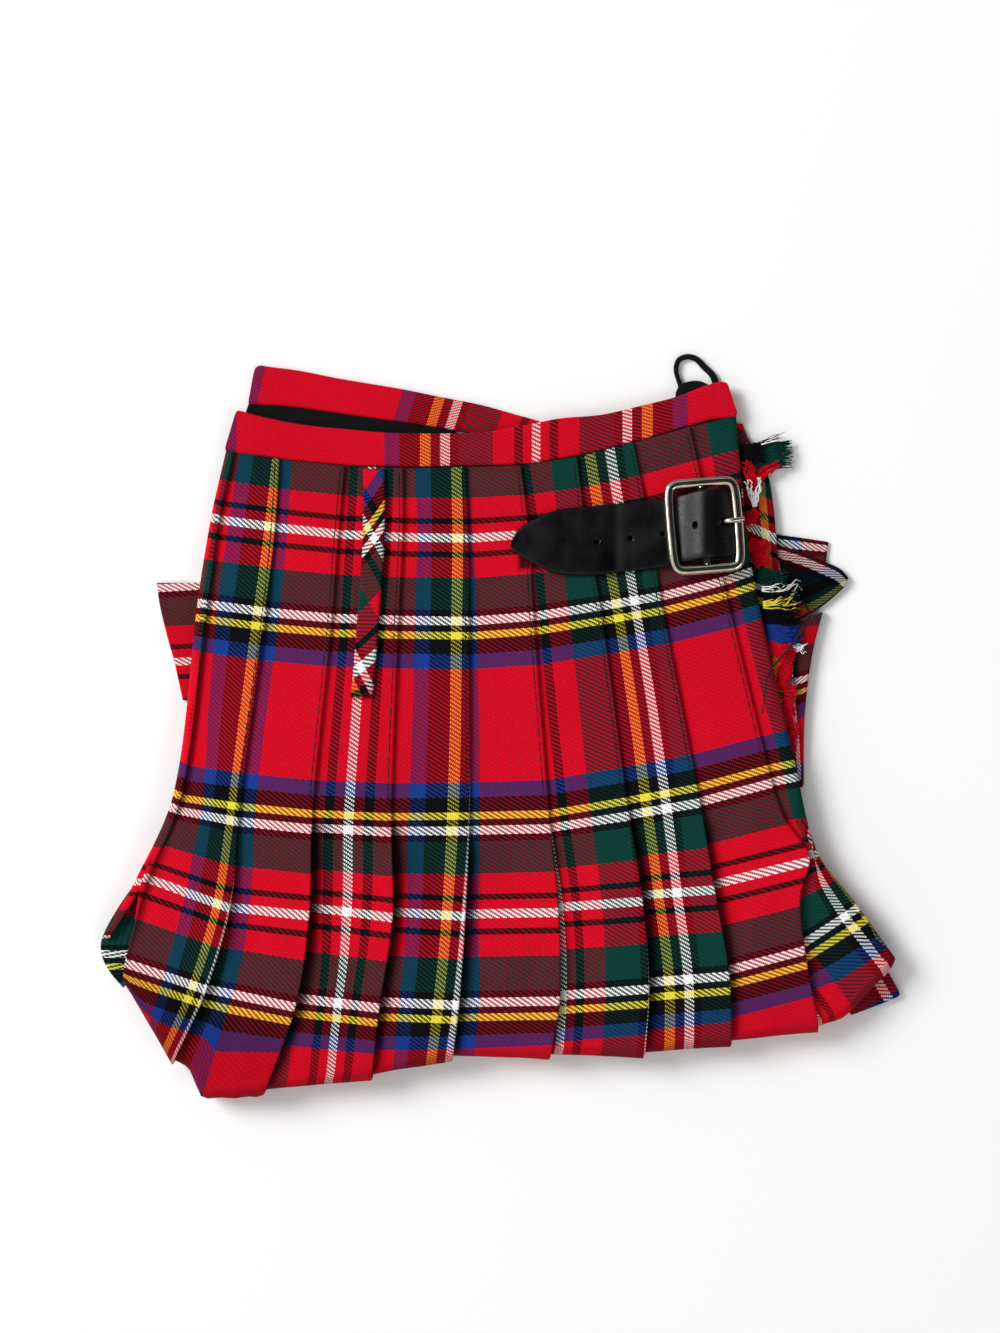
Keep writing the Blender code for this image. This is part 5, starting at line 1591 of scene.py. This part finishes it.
def add_thread(mesh, layer, line, radius, marks, sides=4):
    """A thin thread along a line: a grid rolled into a tube, each end drawn to a point."""
    last = len(line) + 1
    made = bmesh.ops.create_grid(mesh, x_segments=sides, y_segments=last, size=0.5)
    for vert in made["verts"]:
        column = round((vert.co.x + 0.5) * sides)
        row = round((vert.co.y + 0.5) * last)
        level = min(max(row - 1, 0), len(line) - 1)
        before, after = line[max(level - 1, 0)], line[min(level + 1, len(line) - 1)]
        run = (after - before).normalized()
        side = run.cross(Vector((0, 0, 1))).normalized()
        turn = 2.0 * math.pi * (column % sides) / sides
        out = side * math.cos(turn) + side.cross(run) * math.sin(turn)
        size = radius * (1.0 - 0.35 * level / (len(line) - 1)) if 0 < row < last else 0.0
        vert.co = (line[level] + out * size) * MM
    for face in {face for vert in made["verts"] for face in vert.link_faces}:
        face.smooth = True
        for corner in face.loops:
            corner[layer].uv = marks


def join_threads(mesh):
    """Close the seams of all threads at once."""
    bmesh.ops.remove_doubles(mesh, verts=mesh.verts, dist=0.000004)
    bmesh.ops.recalc_face_normals(mesh, faces=mesh.faces)
    return mesh


mesh = bmesh.new()
number = 0
for dye, root_x, root_y, tip_x, tip_y, root_half, tip_half, low, high, count, curl in TUFTS:
    root, tip = Vector((root_x, root_y)), Vector((tip_x, tip_y))
    side = Vector((root.y - tip.y, tip.x - root.x)).normalized()
    tuft = bmesh.new()
    layer = tuft.loops.layers.uv.new("cloth")
    for thread in range(count):
        number += 1
        place = 2.0 * (thread + draw(number, 1)) / count - 1.0
        start = root + side * (root_half * place)
        spread = place + 0.5 * (draw(number, 2) - 0.5)
        end = tip + side * (tip_half * spread)
        end = between(start, end, 0.72 + 0.36 * draw(number, 3))
        rise = (high - low) * (0.2 + 0.9 * draw(number, 4))
        phase = 6.28 * draw(number, 5)
        waves = 1.0 + 1.6 * draw(number, 6)
        sway = curl * (0.5 + draw(number, 7))
        line = []
        for step in range(THREAD_STEPS + 1):
            share = step / THREAD_STEPS
            way = phase + 6.28 * waves * share
            plan = between(start, end, share) + side * (sway * share * math.sin(way))
            height = low + rise * share + 0.5 * draw(number,
                                                     8) + 0.6 * sway * share * math.cos(way)
            line.append(raised(plan, max(height, THREAD_RADIUS + 0.1)))
        radius = THREAD_RADIUS * (0.8 + 0.5 * draw(number, 9)) * THICKER.get(dye, 1.0)
        add_thread(tuft, layer, line, radius, (0.0, DYES[dye] + 0.6 * (draw(number, 10) - 0.5)))
    gather(mesh, tuft)
add_piece("fringe_threads", join_threads(mesh), fringe_wool, ["fringe"])
print("fringe threads:", number)

# %% [markdown]
# ## Stitching
# The pleats are sewn down by hand from the waist to the hip, just inside each fold, with black
# thread. A kilt maker's stitches are small and even, and each one leaves a dimple. A few loose
# thread ends hang at the sides.

# %% Stitches
# Black polyester-cotton thread: matt, with a fine twist.
sewing, tree, shader = new_material("black_sewing_thread", Roughness=0.7, Specular_IOR_Level=0.3)
place = node(tree, "TexCoord").outputs["Object"]
twist = node(tree, "TexNoise", {"Vector": place, "Scale": 2500.0, "Detail": 1.0})
ramp = node(tree, "ValToRGB", {0: twist.outputs[0]})
ramp.color_ramp.elements[0].color = colour("060608")
ramp.color_ramp.elements[1].color = colour("202026")
tree.links.new(ramp.outputs[0], shader.inputs["Base Color"])

STITCH = 3.0
STITCH_SPACE = 3.4
STITCH_INSET = 2.0
STITCHED = (0.08, 2.86)     # station of the first stitch, and how many stations the seam is long
mesh = bmesh.new()
stitches = 0
for number in range(1, 9):
    seam = bmesh.new()
    layer = seam.loops.layers.uv.new("cloth")
    fold = [pleat_plan(number, 1.0, step / 10) for step in range(31)]
    length = sum((after - before).length for before, after in zip(fold, fold[1:]))
    count = int(length / STITCH_SPACE)
    for stitch in range(count):
        station = STITCHED[0] + STITCHED[1] * stitch / count
        ahead = STITCHED[1] / count * STITCH / STITCH_SPACE
        line = []
        for step in range(4):
            here = station + ahead * step / 3
            share = 1.0 - STITCH_INSET / pleat_width(number, here)
            lift = 0.12 if step in (1, 2) else -0.12
            height = face_height(share, PLEAT_RISE) + lift
            line.append(pleat_point(number, share, here, None, height))
        add_thread(seam, layer, line, 0.3, (0.0, 0.0))
        stitches += 1
    gather(mesh, seam)
add_piece("pleat_stitching", join_threads(mesh), sewing)
print("stitches:", stitches)

# %% Loose threads
LOOSE = (
    # across and down in units of the stripe tables, height above the floor in mm
    ((802, 624, 9.5), (792, 642, 10.0), (777, 660, 10.5), (768, 670, 12.0), (763, 684, 16.5),
     (759, 713, 18.5)),
    ((800, 600, 4.0), (808, 612, 4.4), (806, 630, 4.6), (797, 640, 6.0)),
)
mesh = bmesh.new()
layer = mesh.loops.layers.uv.new("cloth")
for row in LOOSE:
    knots = [Vector(((x - 500.0) * SCALE, (727.5 - y) * SCALE, z)) for x, y, z in row]
    add_thread(mesh, layer, sampled(knots, 4), 0.5, (0.0, 0.0))
add_piece("loose_threads", join_threads(mesh), sewing)

# %% [markdown]
# ## What each sheet was cut to
# A kilt is one long length of cloth, pleated. Here each stretch of it that shows is a piece, and
# the sizes below are its cut, in millimetres, with what is tucked under: width across, length down,
# how it is held, what it lies on. Where a cut isn't a rectangle, its area follows in mm².

# %% Declared sheets
PLEAT_CUTS = ((11.5, 222), (37.5, 300), (49.5, 305), (49.5, 300), (48, 290), (50, 287), (49, 290),
              (46, 295), (46.5, 300), (28, 300))
CUTS = {"pleat_face_%d" % number: (*cut, "folded", "folded_layers")
        for number, cut in enumerate(PLEAT_CUTS)}
CUTS.update({
    "waistband_front": (232, 18, "folded", "folded_layers"),
    "waistband_back": (137, 17, "folded", "folded_layers"),
    "lining_black": (98, 10.4, "laid", "waistband_back"),
    "hem_corner_left": (20.5, 54, "laid", "folded_layers"),
    "hem_layer_right": (31, 15.5, "laid", "folded_layers"),
    "hem_flap_right": (38, 41, "folded", "hem_layer_right", 1000),
    "side_fold_right": (13.7, 80, "folded", "folded_layers"),
    "side_pocket_left": (14.1, 88, "folded", "folded_layers"),
    "foot_corner_right": (12, 28, "folded", "folded_layers"),
    "apron_edge_right": (13.5, 166, "laid", "folded_layers"),
    "belt_loop_bias": (11.4, 104, "stretched", "pleat_face_3"),
    "folded_layers": (330, 250, "folded", "side_pocket_left"),
})
print("sheets declared:", len(CUTS))

# %% Floor
FLOOR_LEVEL = -0.0004       # metres; a little below, so that no underside lies in it
# White paper, matt and without a pattern.
paper, tree, shader = new_material("white_paper_floor", Roughness=0.9, Specular_IOR_Level=0.1,
                                   Base_Color=colour("FBFBFB"))
floor_mesh = bmesh.new()
bmesh.ops.create_grid(floor_mesh, x_segments=4, y_segments=4, size=3.0)
floor = in_scene("floor", floor_mesh)
floor.location.z = FLOOR_LEVEL
floor.data.materials.append(paper)

for name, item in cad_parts.items():
    if not item.hide_render:
        print("still shown:", name)
